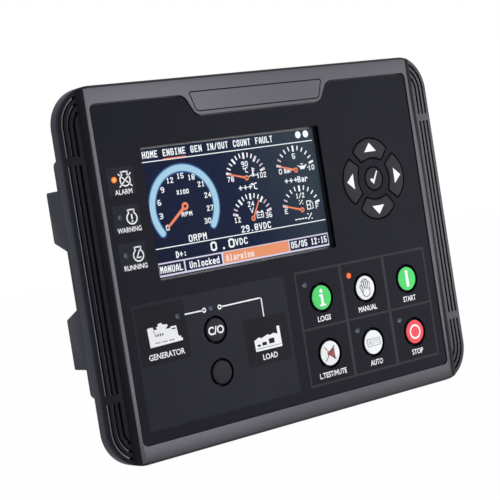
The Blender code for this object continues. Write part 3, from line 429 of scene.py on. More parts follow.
def shifted(outline, dx, dz):
    """The outline moved sideways."""
    return [(x + dx, z + dz) for x, z in outline]


def scaled(outline, share, centre):
    """The outline scaled about a point."""
    return [(centre[0] + (x - centre[0]) * share, centre[1] + (z - centre[1]) * share) for x, z in outline]


def turned(outline, quarter_turns):
    """The outline turned about its origin by quarter turns."""
    angle = quarter_turns * math.pi / 2
    cosine, sine = math.cos(angle), math.sin(angle)
    return [(x * cosine - z * sine, x * sine + z * cosine) for x, z in outline]


def grown(outline, distance):
    """The outline moved outwards by a distance, or inwards by a negative one."""
    moved = []
    for i, here in enumerate(outline):
        point = Vector(here)
        first = (point - Vector(outline[i - 1])).normalized()
        second = (Vector(outline[(i + 1) % len(outline)]) - point).normalized()
        normal = Vector((first.y + second.y, -first.x - second.x)).normalized()
        moved.append(tuple(point + normal * distance / max(0.3, normal.dot(Vector((first.y, -first.x))))))
    return moved


def filleted(marked, steps=8):
    """Rounds each corner of an outline of (point, radius) pairs with a tangent arc."""
    points = []
    for i, (here, radius) in enumerate(marked):
        if radius == 0:
            points.append(here)
            continue
        point = Vector(here)
        back = (Vector(marked[i - 1][0]) - point).normalized()
        ahead = (Vector(marked[(i + 1) % len(marked)][0]) - point).normalized()
        half = back.angle(ahead) / 2
        centre = point + (back + ahead).normalized() * radius / math.sin(half)
        start = point + back * radius / math.tan(half) - centre
        sweep = start.angle_signed(point + ahead * radius / math.tan(half) - centre)
        for step in range(steps + 1):
            points.append(tuple(centre + Matrix.Rotation(-sweep * step / steps, 2) @ start))
    return points


def edge_steps(size, steps):
    """How far in and how far back each step of a rounded front edge lies, from its face to its side."""
    turns = [math.radians(90 * step / steps) for step in range(steps + 1)]
    return [(size * (1 - math.sin(turn)), size * (1 - math.cos(turn))) for turn in turns]


print("a circle has", len(circle(1.0)), "points")

# %% Helpers for solids


class Hoop(list):
    """A stack of rings whose last ring joins its first."""


def hoop(outer, inner, front_y, back_y):
    """A flat ring between two outlines."""
    return Hoop([(outer, front_y), (outer, back_y), (inner, back_y), (inner, front_y)])


def prism(outline, front_y, back_y):
    """Rings of a straight extrusion."""
    return [(outline, front_y), (outline, back_y)]


def block(low, high):
    """Rings of a box between two corners."""
    return prism(box_outline(low[0], low[2], high[0], high[2]), low[1], high[1])


def add_stack(mesh, rings):
    """Adds a closed solid through equal-sized rings, each an outline and its Y, front to back."""
    levels = [[mesh.verts.new((x, y, z)) for x, z in outline] for outline, y in rings]
    if isinstance(rings, Hoop):
        levels.append(levels[0])
    else:
        mesh.faces.new(levels[0])
        mesh.faces.new(list(reversed(levels[-1])))
    for front, back in zip(levels, levels[1:]):
        for i in range(len(front)):
            j = (i + 1) % len(front)
            mesh.faces.new((front[j], front[i], back[i], back[j]))


def mesh_object(name, mesh):
    """A new object from a working mesh, which is freed."""
    data = bpy.data.meshes.new(name)
    mesh.to_mesh(data)
    mesh.free()
    return put(name, data)


def solid_object(name, solids):
    """A mesh object at the origin, made of stacks."""
    mesh = bmesh.new()
    for rings in solids:
        add_stack(mesh, rings)
    bmesh.ops.recalc_face_normals(mesh, faces=mesh.faces)
    return mesh_object(name, mesh)


def settle(piece):
    """Turns a piece's modifiers into its plain mesh."""
    graph = bpy.context.evaluated_depsgraph_get()
    settled = bpy.data.meshes.new_from_object(piece.evaluated_get(graph))
    piece.modifiers.clear()
    old = piece.data
    piece.data = settled
    bpy.data.meshes.remove(old)


def carve(piece, solids, operation="DIFFERENCE"):
    """Cuts stacks out of a piece, joins them to it or keeps what they share."""
    tool = solid_object("carving_tool", solids)
    step = piece.modifiers.new("carve", "BOOLEAN")
    step.operation = operation
    step.solver = "EXACT"
    step.use_self = operation == "UNION"
    step.object = tool
    settle(piece)
    bpy.data.objects.remove(tool, do_unlink=True)


def dress(piece, mat, body=CASE, stands_for=(), crease=35):
    """Gives a finished piece its material, its smooth faces, its body and the nodes it replaces."""
    piece.data.materials.clear()
    piece.data.materials.append(mat)
    piece.data.shade_smooth()
    piece.data.set_sharp_from_angle(angle=math.radians(crease))
    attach(piece, body)
    if stands_for:
        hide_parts(*stands_for)


print("solids are stacks of rings along Y")

# %% [markdown]
# ## The moulded frame
# The frame is one injection moulding. Its raised band and its two sloping wings share one section,
# which runs the full height. We push that section along Z, trim it with the rounded outline, then
# cut the recess, the grooves and the openings. The recess is widened at its mouth by a small
# chamfer, because a moulded edge catches a thin line of light.

# %% Sizes of the frame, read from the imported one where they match
frame_low, frame_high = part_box("front_frame")
sheet_low, sheet_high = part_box("face_sheet")
FRAME_WIDTH = frame_high.x - frame_low.x
FRAME_HEIGHT = frame_high.z - frame_low.z
RIM_Y = frame_low.y
RIM_HEIGHT = 3.1 * MM
FRAME_BACK_Y = RIM_Y + RIM_HEIGHT
SHEET_Y = sheet_low.y
SHEET_BACK_Y = sheet_high.y
GAP = 0.3 * MM
SHEET_FLOOR_Y = SHEET_BACK_Y + GAP
WEB_BACK_Y = SHEET_FLOOR_Y + 2.0 * MM
FRAME_CORNER = 16.4 * MM
EDGE_ROUND = 1.2 * MM
BAND_HALF_WIDTH = 94.0 * MM
BAND_SHOULDER = 4.0 * MM
WING_EDGE = 0.9 * MM
WING_RISE = 0.9 * MM
SKIRT_INSET = 6.2 * MM
CHAMFER = 0.2 * MM
SHEET_WIDTH = sheet_high.x - sheet_low.x + 2 * GAP
SHEET_HEIGHT = sheet_high.z - sheet_low.z + 2 * GAP
print("frame", round(FRAME_WIDTH / MM, 1), "by", round(FRAME_HEIGHT / MM, 1), "mm")

# %% The recess and its tab
SHEET_CORNER = 2.4 * MM
TAB_X = -1.25 * MM
TAB_HALF_TOP = 40.35 * MM
TAB_HALF_LOW = 35.15 * MM
TAB_DROP = 9.3 * MM
TAB_BEND = 5.0 * MM


def recess_outline(inset=0.0):
    """The sheet's outline, with the frame's tab dipping into its top edge between four soft bends."""
    half_x, top = SHEET_WIDTH / 2, SHEET_HEIGHT / 2
    low = top - TAB_DROP
    corners = [((-half_x, -top), SHEET_CORNER), ((half_x, -top), SHEET_CORNER), ((half_x, top), SHEET_CORNER),
               ((TAB_X + TAB_HALF_TOP, top), TAB_BEND), ((TAB_X + TAB_HALF_LOW, low), TAB_BEND),
               ((TAB_X - TAB_HALF_LOW, low), TAB_BEND), ((TAB_X - TAB_HALF_TOP, top), TAB_BEND),
               ((-half_x, top), SHEET_CORNER)]
    return grown(filleted(corners, 12), -inset)


def mouth(outline, front_y, chamfer, back_y):
    """A cut whose mouth is widened by a chamfer that starts at front_y."""
    wide = grown(outline, chamfer)
    return [(wide, front_y - MM), (wide, front_y), (outline, front_y + chamfer), (outline, back_y)]


def frame_outline(inset=0.0):
    """The controller's outer outline, or the same line further in."""
    return rounded_box(FRAME_WIDTH - 2 * inset, FRAME_HEIGHT - 2 * inset, FRAME_CORNER - inset, steps=28)


print("the tab is", round(2 * TAB_HALF_LOW / MM, 1), "mm wide at its foot")

# %% The grooves
GROOVES = 3
GROOVE_INSET = 2.3 * MM
GROOVE_PITCH = 2.5 * MM
GROOVE_WIDTH = 1.2 * MM
GROOVE_FLOOR = 0.4 * MM
BRIDGE_Z = 49.0 * MM
BRIDGE = 3.4 * MM


def groove_strips():
    """Outlines of the grooves on both wings, stopped at their bridges and at the raised band."""
    half_x = FRAME_WIDTH / 2
    bend_x = half_x - FRAME_CORNER
    bend_z = FRAME_HEIGHT / 2 - FRAME_CORNER
    reach, start = BRIDGE_Z - BRIDGE / 2, BRIDGE_Z + BRIDGE / 2
    strips = []
    for i in range(GROOVES):
        inset = GROOVE_INSET + i * GROOVE_PITCH
        near, far = inset + GROOVE_WIDTH / 2, inset - GROOVE_WIDTH / 2
        strips.append(box_outline(half_x - near, -reach, half_x - far, reach))
        radius = FRAME_CORNER - inset
        stop = math.degrees(math.acos(min(1.0, (BAND_HALF_WIDTH - bend_x) / radius)))
        outer = arc((bend_x, bend_z), radius + GROOVE_WIDTH / 2, 0, stop, 16)
        inner = arc((bend_x, bend_z), radius - GROOVE_WIDTH / 2, stop, 0, 16)
        upper = [(half_x - near, start), (half_x - far, start)] + outer + inner
        strips.append(upper)
        strips.append([(x, -z) for x, z in reversed(upper)])
    return strips + [[(-x, z) for x, z in reversed(strip)] for strip in strips]


print(len(groove_strips()), "grooves on the two wings")

# %% [markdown]
# ## Places of the keys and light pipes
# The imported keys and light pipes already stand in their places, so their boxes give each centre.
# A round key's cap is smaller than its box, which also holds the lip behind the web.

# %% Keys and light pipes
KEY_LIP = 0.3 * MM
ROUND_KEYS = {
    "logs": 1.1 * MM,
    "manual": 1.1 * MM,
    "start": 1.1 * MM,
    "lamp_test": 1.1 * MM,
    "auto": 1.1 * MM,
    "stop": 1.1 * MM,
    "breaker": 0.95 * MM,
    "reserve": 0.95 * MM,
    "confirm": 0.5 * MM,
}
ARROWS = {"up": 0, "left": 1, "down": 2, "right": 3}
NAV_GAP = 0.5 * MM
LENSES = ("alarm", "warning", "running", "generator", "breaker", "logs", "manual", "auto", "stop")
LENS_RADIUS = 1.3 * MM


def middle_of(node):
    """A node's centre as a point on the face."""
    low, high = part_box(node)
    return ((low.x + high.x) / 2, (low.z + high.z) / 2)


def key_radius(name):
    """The radius of a round key's cap."""
    low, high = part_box("key_" + name)
    return (high.x - low.x) / 2 - ROUND_KEYS[name] - KEY_LIP


def arrow_outline(grow=0.0):
    """The upper arrow key about the centre key: curved back, slanted ends, hollow heel."""
    outer, shoulder, half = 19.1 * MM, 13.5 * MM, 10.6 * MM
    inner, heel, heel_half = 9.85 * MM, 8.2 * MM, 6.2 * MM
    rise, dip = outer - shoulder, inner - heel
    back_r = (half ** 2 + rise ** 2) / (2 * rise)
    reach = math.degrees(math.asin(half / back_r))
    heel_r = (heel_half ** 2 + dip ** 2) / (2 * dip)
    heel_reach = math.degrees(math.asin(heel_half / heel_r))
    marked = []
    for run in (arc((0, outer - back_r), back_r, 90 - reach, 90 + reach, 12),
                arc((0, inner - heel_r), heel_r, 90 + heel_reach, 90 - heel_reach, 6)):
        marked += [(point, 1.1 * MM if i in (0, len(run) - 1) else 0) for i, point in enumerate(run)]
    outline = filleted(marked)
    return grown(outline, grow) if grow else outline


NAV_CENTRE = middle_of("key_confirm")


def arrow_in_place(name, grow=0.0):
    """One arrow key's outline on the face."""
    return shifted(turned(arrow_outline(grow), ARROWS[name]), *NAV_CENTRE)


def face_openings():
    """The outlines of every key's and light pipe's opening."""
    holes = [circle(key_radius(n) + gap, middle_of("key_" + n)) for n, gap in ROUND_KEYS.items()]
    holes += [arrow_in_place(n, NAV_GAP) for n in ARROWS]
    holes += [circle(LENS_RADIUS + GAP / 2, middle_of("lens_" + n), 32) for n in LENSES]
    return holes


print("cap radius of the start key:", round(key_radius("start") / MM, 2), "mm")

# %% [markdown]
# ## Display window
# The display module sits behind the web, and a clear pane lies under the printed sheet. The
# opening shows a dark margin round the lit area, because the camera looks into it at an angle.

# %% Display places
module_low, module_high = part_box("display_module")
pane_low, pane_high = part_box("display_window")
MODULE_SIDE = 5.0 * MM
SCREEN_LEFT = module_low.x + MODULE_SIDE
SCREEN_TOP = module_high.z - MODULE_SIDE
SCREEN_WIDTH = module_high.x - module_low.x - 2 * MODULE_SIDE
SCREEN_HEIGHT = module_high.z - module_low.z - 2 * MODULE_SIDE
SCREEN_MIDDLE = (SCREEN_LEFT + SCREEN_WIDTH / 2, SCREEN_TOP - SCREEN_HEIGHT / 2)
WINDOW_MARGIN = 1.2 * MM
PANE_LAP = 2.5 * MM
window_outline = rounded_box(SCREEN_WIDTH + 2 * WINDOW_MARGIN, SCREEN_HEIGHT + 2 * WINDOW_MARGIN,
                             MM, SCREEN_MIDDLE)
print("lit area", round(SCREEN_WIDTH / MM, 1), "by", round(SCREEN_HEIGHT / MM, 1), "mm")

# %% Build the frame


def frame_section():
    """Half and mirrored half of the frame's section across X and Y."""
    half_x = FRAME_WIDTH / 2
    edge_y = FRAME_BACK_Y - WING_EDGE
    root_y = edge_y - WING_RISE
    right = [(half_x, FRAME_BACK_Y), (half_x, edge_y)]
    for across, up in arc((0.0, 0.0), 1.0, 0, 90, 20):
        right.append((BAND_HALF_WIDTH - BAND_SHOULDER * (1 - across), root_y + (RIM_Y - root_y) * up))
    return right + [(-x, y) for x, y in reversed(right)]


def section_bar(name, section, half_length):
    """A section of (x, y) points pushed along Z."""
    mesh = bmesh.new()
    levels = [[mesh.verts.new((x, y, z)) for x, y in section] for z in (-half_length, half_length)]
    mesh.faces.new(levels[0])
    mesh.faces.new(levels[1][::-1])
    for i in range(len(section)):
        j = (i + 1) % len(section)
        mesh.faces.new((levels[0][j], levels[0][i], levels[1][i], levels[1][j]))
    bmesh.ops.recalc_face_normals(mesh, faces=mesh.faces)
    return mesh_object(name, mesh)


TRIM_CLEAR = 0.005 * MM


def build_frame():
    """The whole moulding, from its section to its last cut."""
    piece = section_bar("moulded_frame", frame_section(), FRAME_HEIGHT / 2 + MM)
    front = edge_steps(EDGE_ROUND, 8)[:-1]
    rings = [(frame_outline(inset), RIM_Y + back - TRIM_CLEAR) for inset, back in front]
    rings += [(frame_outline(), RIM_Y + EDGE_ROUND), (frame_outline(), FRAME_BACK_Y + MM)]
    carve(piece, [rings], "INTERSECT")
    carve(piece, [prism(frame_outline(SKIRT_INSET), FRAME_BACK_Y - GAP, WEB_BACK_Y)], "UNION")
    carve(piece, [mouth(recess_outline(), RIM_Y, CHAMFER, SHEET_FLOOR_Y)])
    carve(piece, [prism(strip, RIM_Y, FRAME_BACK_Y - GROOVE_FLOOR) for strip in groove_strips()])
    carve(piece, [prism(hole, RIM_Y, WEB_BACK_Y + MM) for hole in face_openings()])
    carve(piece, [prism(window_outline, RIM_Y, WEB_BACK_Y + MM)])
    lap = grown(window_outline, PANE_LAP + GAP)
    carve(piece, [prism(lap, RIM_Y, pane_high.y + GAP)])
    return piece


moulded_frame = build_frame()
print("the frame has", len(moulded_frame.data.polygons), "faces")

# %% The bare badge field on the tab
BADGE_LINE = 0.5 * MM
BADGE_LINE_DEPTH = 0.4 * MM
BADGE_TOP_Z = 72.5 * MM
BADGE_LOW_Z = 63.5 * MM
BADGE_HALF_TOP = 37.7 * MM
BADGE_HALF_LOW = 34.8 * MM


BADGE_SOFT_LOW = 2.5 * MM
BADGE_SOFT_TOP = 0.9 * MM


def badge_outline():
    """The shallow line round the bare field."""
    return filleted([((TAB_X - BADGE_HALF_LOW, BADGE_LOW_Z), BADGE_SOFT_LOW),
                     ((TAB_X + BADGE_HALF_LOW, BADGE_LOW_Z), BADGE_SOFT_LOW),
                     ((TAB_X + BADGE_HALF_TOP, BADGE_TOP_Z), BADGE_SOFT_TOP),
                     ((TAB_X - BADGE_HALF_TOP, BADGE_TOP_Z), BADGE_SOFT_TOP)])


outer_line = badge_outline()
inner_line = grown(outer_line, -BADGE_LINE)
carve(moulded_frame, [Hoop([(outer_line, RIM_Y - MM), (outer_line, RIM_Y),
                            (grown(outer_line, -BADGE_LINE / 2), RIM_Y + BADGE_LINE_DEPTH),
                            (inner_line, RIM_Y), (inner_line, RIM_Y - MM)])])
dress(moulded_frame, FRAME_BLACK, stands_for=("front_frame",), crease=30)
print("badge field", round(2 * BADGE_HALF_TOP / MM), "mm wide")

# %% Sheet, pane and display module
sheet = solid_object("printed_sheet", [prism(recess_outline(GAP), SHEET_Y, SHEET_BACK_Y)])
carve(sheet, [prism(hole, SHEET_Y - MM, SHEET_BACK_Y + MM) for hole in face_openings()])
carve(sheet, [prism(window_outline, SHEET_Y - MM, SHEET_BACK_Y + MM)])
dress(sheet, SHEET_PRINT, stands_for=("face_sheet",))


def clear_material():
    """A thin clear pane: mostly see-through, with a faint gloss that its grain breaks up."""
    mat = grained("window_clear_coat", (0.02, 0.02, 0.03), 0.12, grain=0.4, bump=0.02)
    shader = mat.node_tree.nodes["Principled BSDF"]
    shader.inputs["Alpha"].default_value = 0.04
    shader.inputs["Specular IOR Level"].default_value = 0.03
    return mat


pane_outline = grown(window_outline, PANE_LAP)
pane = solid_object("window_pane", [prism(pane_outline, pane_low.y, pane_high.y)])
dress(pane, clear_material(), stands_for=("display_window",))
print("sheet and pane in place")

# %% [markdown]
# ## Rubber keys
# A silicone key has a softly rounded rim and a slightly crowned top. Rings that shrink along a
# quarter turn make the rim; a few more lift the crown. Every key rides on its own body, so it
# sinks into its hole when it is pressed.

# %% A helper for key caps
KEY_FRONT_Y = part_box("key_start")[0].y
KEY_ROUND = 0.55 * MM
KEY_LIP_Y = WEB_BACK_Y + GAP
LIP_THICK = 0.8 * MM
CROWN = ((0.05, 0.0), (0.35, 0.01), (0.6, 0.04), (0.8, 0.09))
CROWN_RISE = 0.12 * MM
PLUNGER_SHARE = 0.36


def key_stack(outline, centre, gap, plunger_back):
    """Rings of one key from its crown to its plunger."""
    rings = [(scaled(outline, share, centre), KEY_FRONT_Y + rise * MM) for share, rise in CROWN]
    for inset, back in edge_steps(KEY_ROUND, 6):
        rings.append((grown(outline, -inset), KEY_FRONT_Y + CROWN_RISE + back))
    lip = grown(outline, gap + KEY_LIP)
    plunger = scaled(outline, PLUNGER_SHARE, centre)
    rings += [(outline, KEY_LIP_Y), (lip, KEY_LIP_Y), (lip, KEY_LIP_Y + LIP_THICK)]
    rings += [(plunger, KEY_LIP_Y + LIP_THICK), (plunger, plunger_back)]
    return rings


# %% Build the thirteen keys
DISC_RINGS = 9
DISC_INSET = 0.1 * MM
DISC_SINK = 0.1 * MM
KEY_FINISH = {
    "logs": (KEY_GREEN, "key_green"),
    "start": (KEY_GREEN, "key_green"),
    "manual": (KEY_WHITE, "key_white"),
    "lamp_test": (KEY_WHITE, "key_white"),
    "auto": (KEY_WHITE, "key_white"),
    "stop": (KEY_RED, "key_red"),
}


def build_key(name, outline, centre, gap):
    """One black key that rides on its own body, with a coloured disc on it where it has one; a coloured key's
    black sides are painted shade for the gap round its disc.
    """
    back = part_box("key_" + name)[1].y
    rings = key_stack(outline, centre, gap, back)
    # A coloured key keeps the black body as its sides: painted shade that keeps the gap round the disc dark.
    if name in KEY_FINISH:
        mat, slot = KEY_FINISH[name]
        disc = [(grown(ring, -DISC_INSET * min(1, i / 6)), y)
                for i, (ring, y) in enumerate(rings[:DISC_RINGS])]
        disc.append((disc[-1][0], disc[-1][1] + DISC_SINK))
        dress(solid_object("disc_" + name, [disc]), mat, "key_" + name, crease=40)
        rings = [(ring, y + DISC_SINK / 2) for ring, y in rings[:DISC_RINGS]] + rings[DISC_RINGS:]
    piece = solid_object("cap_" + name, [rings])
    dress(piece, KEY_BLACK, "key_" + name, ("key_" + name,), crease=40)


for key_name, key_gap in ROUND_KEYS.items():
    spot = middle_of("key_" + key_name)
    build_key(key_name, circle(key_radius(key_name), spot), spot, key_gap)
for key_name in ARROWS:
    arrow_spot = middle_of("key_" + key_name)
    build_key(key_name, arrow_in_place(key_name), arrow_spot, NAV_GAP)
print(len(ROUND_KEYS) + len(ARROWS), "keys")

# %% [markdown]
# ## Light pipes
# Each lamp shines through a short clear rod with a domed tip. Two are lit in the photograph; the
# others look like smoked glass. The rod's body is a stack of rings with a collar behind the web.

# %% Light pipes
LIT = {"alarm": LAMP_LIT, "manual": LAMP_RED}


LENS_SIDES = 32
LENS_DOME = 0.25 * MM


def lens_stack(name):
    """Rings of one light pipe."""
    low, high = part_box("lens_" + name)
    centre = middle_of("lens_" + name)
    rings = []
    for step in range(5):
        turn = math.radians(10 + 80 * step / 4)
        dome = circle(LENS_RADIUS * math.sin(turn), centre, LENS_SIDES)
        rings.append((dome, low.y + LENS_DOME * (1 - math.sin(turn))))
    collar_y = WEB_BACK_Y + GAP
    collar = circle(LENS_RADIUS + 2 * GAP, centre, LENS_SIDES)
    rings += [(circle(LENS_RADIUS, centre, LENS_SIDES), collar_y), (collar, collar_y), (collar, high.y)]
    return rings


def warm_centre(mat, name, colour):
    """The middle of a lit light pipe is paler than its rim."""
    tree = mat.node_tree
    shader = tree.nodes["Principled BSDF"]
    low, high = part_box("lens_" + name)
    tip = ((low.x + high.x) / 2, low.y, (low.z + high.z) / 2)
    place = add_node(tree, "ShaderNodeTexCoord").outputs["Object"]
    away = add_node(tree, "ShaderNodeVectorMath", {0: place, 1: tip}, operation="DISTANCE")
    share = add_node(tree, "ShaderNodeMapRange", {
        "Value": away.outputs["Value"],
        "From Min": 0.2 * LENS_RADIUS,
        "From Max": 0.95 * LENS_RADIUS,
        "To Min": 1.0,
        "To Max": 0.0,
    })
    rim = shader.inputs["Emission Color"].links[0].from_socket
    plugs = {"Factor": share.outputs["Result"], "A": rim, "B": (*colour, 1)}
    tint = add_node(tree, "ShaderNodeMix", plugs, data_type="RGBA")
    plug(tree, shader, {"Emission Color": tint.outputs["Result"]})


warm_centre(LAMP_LIT, "alarm", (1.0, 0.60, 0.13))
warm_centre(LAMP_RED, "manual", (1.0, 0.26, 0.08))
for lens_name in LENSES:
    rod = solid_object("pipe_" + lens_name, [lens_stack(lens_name)])
    slot_name = "lens_lit" if lens_name in LIT else "lens_clear"
    dress(rod, LIT.get(lens_name, LAMP_OFF), stands_for=("lens_" + lens_name,))
print(len(LENSES), "light pipes,", len(LIT), "lit")

# %% [markdown]
# ## Printed legends
# Ink on the sheet is a few hundredths of a millimetre thick. Each colour of ink is one piece: flat
# shapes and letters gathered in one mesh, a hair in front of the sheet. Letters come from text
# objects, stretched to the width and height that the legend has on the face.

# %% A helper that gathers ink
INK_LIFT = 0.03 * MM


class Ink:
    """Gathers flat shapes and letters at one depth into one mesh."""

    def __init__(self, name, depth_y):
        self.name = name
        self.y = depth_y
        self.mesh = bmesh.new()

    def shape(self, outline, holes=()):
        """A filled outline, with any holes cut by joining it to them."""
        loops = [outline, *holes]
        edges = []
        for loop in loops:
            points = [self.mesh.verts.new((x, self.y, z)) for x, z in loop]
            for i, point in enumerate(points):
                edges.append(self.mesh.edges.new((point, points[(i + 1) % len(points)])))
        bmesh.ops.triangle_fill(self.mesh, use_beauty=True, use_dissolve=False, edges=edges)

    def ring(self, centre, outer, inner, start=0, end=360, steps=64):
        """A ring or part of one."""
        if end - start >= 360:
            self.shape(circle(outer, centre, steps), [circle(inner, centre, steps)])
            return
        self.shape(arc(centre, outer, start, end, steps) + arc(centre, inner, end, start, steps))

    def line(self, points, width):
        """A line of even width through points, with square ends."""
        for first, second in zip(points, points[1:]):
            a, b = Vector(first), Vector(second)
            along = (b - a).normalized() * width / 2
            side = Vector((-along.y, along.x))
            a, b = a - along, b + along
            self.shape([tuple(a - side), tuple(b - side), tuple(b + side), tuple(a + side)])

    def words(self, text, centre, height, width=None, bold=0.0):
        """Letters fitted to a height and a width about a centre."""
        curve = bpy.data.curves.new("legend", "FONT")
        curve.body = text
        curve.offset = bold
        curve.resolution_u = 3
        holder = put("legend", curve)
        bpy.context.view_layer.update()
        flat = bpy.data.meshes.new_from_object(holder.evaluated_get(bpy.context.evaluated_depsgraph_get()))
        xs = [v.co.x for v in flat.vertices]
        ys = [v.co.y for v in flat.vertices]
        foot = 0.0
        if max(ys) - min(ys) < CAP_HEIGHT * 0.6:
            foot = (max(ys) + min(ys)) / 2 - CAP_HEIGHT / 2
        up = height / CAP_HEIGHT
        across = (width / (max(xs) - min(xs))) if width else up
        mid_x = (max(xs) + min(xs)) / 2
        for vertex in flat.vertices:
            x = centre[0] + (vertex.co.x - mid_x) * across
            z = centre[1] + (vertex.co.y - foot - CAP_HEIGHT / 2) * up
            vertex.co = (x, self.y, z)
        self.mesh.from_mesh(flat)
        bpy.data.objects.remove(holder, do_unlink=True)
        bpy.data.meshes.remove(flat)

    def strokes(self, text, centre, height, width, stroke):
        """Letters of even width in STROKE_FONT, fitted to a height and a width about a centre."""
        cell = width / (len(text) - 0.2)
        step_x = (0.8 * cell - stroke) / 4
        step_z = (height - stroke) / 6
        foot = centre[1] - height / 2 + stroke / 2
        for i, letter in enumerate(text):
            left = centre[0] - width / 2 + i * cell + stroke / 2
            for run in STROKE_FONT.get(letter, "").split():
                pairs = zip(run[::2], run[1::2])
                points = [(left + int(x) * step_x, foot + int(z) * step_z) for x, z in pairs]
                if len(points) == 1:
                    x, z = points[0]
                    half = 0.6 * stroke
                    self.shape(box_outline(x - half, z - half, x + half, z + half))
                else:
                    self.line(points, stroke)

    def piece(self, mat, body=CASE, slot=None):
        """The gathered mesh as a piece whose faces look forwards."""
        for face in self.mesh.faces:
            face.normal_update()
            if face.normal.y > 0:
                face.normal_flip()
        made = mesh_object(self.name, self.mesh)
        made.data.materials.append(mat)
        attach(made, body)


def plain_ink(name, depth_y, outlines, mat, body=CASE, slot="display_glass"):
    """Filled outlines of one colour as one piece."""
    ink = Ink(name, depth_y)
    for outline in outlines:
        ink.shape(outline)
    ink.piece(mat, body, slot)


def cap_height():
    """How tall a capital of the built-in font is at size 1."""
    curve = bpy.data.curves.new("probe", "FONT")
    curve.body = "H"
    probe = put("probe", curve)
    bpy.context.view_layer.update()
    tall = probe.dimensions.y
    bpy.data.objects.remove(probe, do_unlink=True)
    return tall


CAP_HEIGHT = cap_height()
print("a capital is", round(CAP_HEIGHT, 3), "of its size")

# %% Fields, tiles and the grid
MIMIC_FIELD = (-84.4, -66.0, -3.0, -13.1)
GENERATOR_TILE = (-83.3, -39.2, -58.4, -14.5)
LOAD_TILE = (-29.3, -50.0, -4.9, -29.1)
GRID_LEFT, GRID_RIGHT = 3.5, 83.9
GRID_TOP, GRID_LOW, GRID_MIDDLE = -13.5, -65.3, -39.6
GRID_COLUMNS = (30.1, 57.0)


def mm_box(box):
    """A rectangle given in millimetres."""
    return box_outline(*[value * MM for value in box])


def mm_point(x, z):
    """A point of the face given in millimetres."""
    return (x * MM, z * MM)


SHEET_INK_Y = SHEET_Y - INK_LIFT


def cut_keys(outline_box):
    """The openings that lie inside a field, as holes in its ink."""
    low_x, low_z, high_x, high_z = [value * MM for value in outline_box]
    found = []
    for hole in face_openings():
        xs, zs = [p[0] for p in hole], [p[1] for p in hole]
        if low_x < min(xs) and max(xs) < high_x and low_z < min(zs) and max(zs) < high_z:
            found.append(hole)
    return found


field = Ink("ink_mimic_field", SHEET_INK_Y)
field.shape(mm_box(MIMIC_FIELD), cut_keys(MIMIC_FIELD))
TILE_LOW, TILE_HIGH = (-3.4, -6.6), (9.7, 5.0)
for status in ("alarm", "warning", "running"):
    lamp_x, lamp_z = [value / MM for value in middle_of("lens_" + status)]
    tile = (lamp_x + TILE_LOW[0], lamp_z + TILE_LOW[1], lamp_x + TILE_HIGH[0], lamp_z + TILE_HIGH[1])
    field.shape(mm_box(tile), cut_keys(tile))
field.piece(FIELD_PRINT, slot="sheet_print")

tiles = Ink("ink_dark_tiles", SHEET_INK_Y - INK_LIFT)
tiles.shape(mm_box(GENERATOR_TILE), cut_keys(GENERATOR_TILE))
tiles.shape(mm_box(LOAD_TILE), cut_keys(LOAD_TILE))
tiles.piece(TILE_PRINT, slot="sheet_print")

grid = Ink("ink_mode_grid", SHEET_INK_Y)
GRID_LINE, GRID_DIVIDER = 1.0, 1.7
GRID_HALF = GRID_LINE / 2
DIVIDER_HALF = GRID_DIVIDER / 2
outer_box = (GRID_LEFT - GRID_HALF, GRID_LOW - GRID_HALF, GRID_RIGHT + GRID_HALF, GRID_TOP + GRID_HALF)
inner_box = (GRID_LEFT + GRID_HALF, GRID_LOW + GRID_HALF, GRID_RIGHT - GRID_HALF, GRID_TOP - GRID_HALF)
grid.shape(mm_box(outer_box), [mm_box(inner_box)])
for column in GRID_COLUMNS:
    grid.shape(mm_box((column - DIVIDER_HALF, GRID_LOW + GRID_HALF,
                       column + DIVIDER_HALF, GRID_TOP - GRID_HALF)))
for left, right in zip((GRID_LEFT, *GRID_COLUMNS), (*GRID_COLUMNS, GRID_RIGHT)):
    start = left + (GRID_HALF if left == GRID_LEFT else DIVIDER_HALF)
    stop = right - (GRID_HALF if right == GRID_RIGHT else DIVIDER_HALF)
    grid.shape(mm_box((start, GRID_MIDDLE - GRID_HALF, stop, GRID_MIDDLE + GRID_HALF)))
grid.piece(LINE_PRINT, slot="sheet_print")
print("fields, tiles and grid printed")

# %% White legends on the sheet
LEGENDS = (
    ("ALARM", -78.8, 34.0, 2.0, 8.5),
    ("WARNING", -78.8, 18.2, 2.0, 11.8),
    ("RUNNING", -78.6, 2.5, 2.0, 11.4),
    ("GENERATOR", -70.3, -35.9, 2.35, 18.2),
    ("LOAD", -16.9, -46.8, 2.35, 8.2),
    ("LOGS", 16.8, -36.0, 2.35, 7.8),
    ("MANUAL", 43.6, -36.0, 2.35, 11.4),
    ("START", 70.6, -36.0, 2.35, 8.1),
    ("L.TEST/MUTE", 17.1, -61.6, 2.35, 16.1),
    ("AUTO", 44.0, -61.6, 2.35, 7.7),
    ("STOP", 70.7, -61.6, 2.35, 7.2),
)
LEGEND_BOLD = 0.02
white = Ink("ink_white_legends", SHEET_INK_Y - 2 * INK_LIFT)
for words, x, z, height, width in LEGENDS:
    white.words(words, mm_point(x, z), height * MM, width * MM, LEGEND_BOLD)

# The supply line from the generator past the breaker to the load
LINE_WIDTH = 0.62 * MM
LINE_Z = -21.0
white.line([mm_point(-58.2, LINE_Z), mm_point(-49.3, LINE_Z)], LINE_WIDTH)
white.line([mm_point(-38.9, LINE_Z), mm_point(-17.2, LINE_Z + 0.2), mm_point(-17.2, -28.9)], LINE_WIDTH)
for ring_x in (-48.3, -40.0):
    white.ring(mm_point(ring_x, LINE_Z), 1.1 * MM, 0.48 * MM, steps=40)

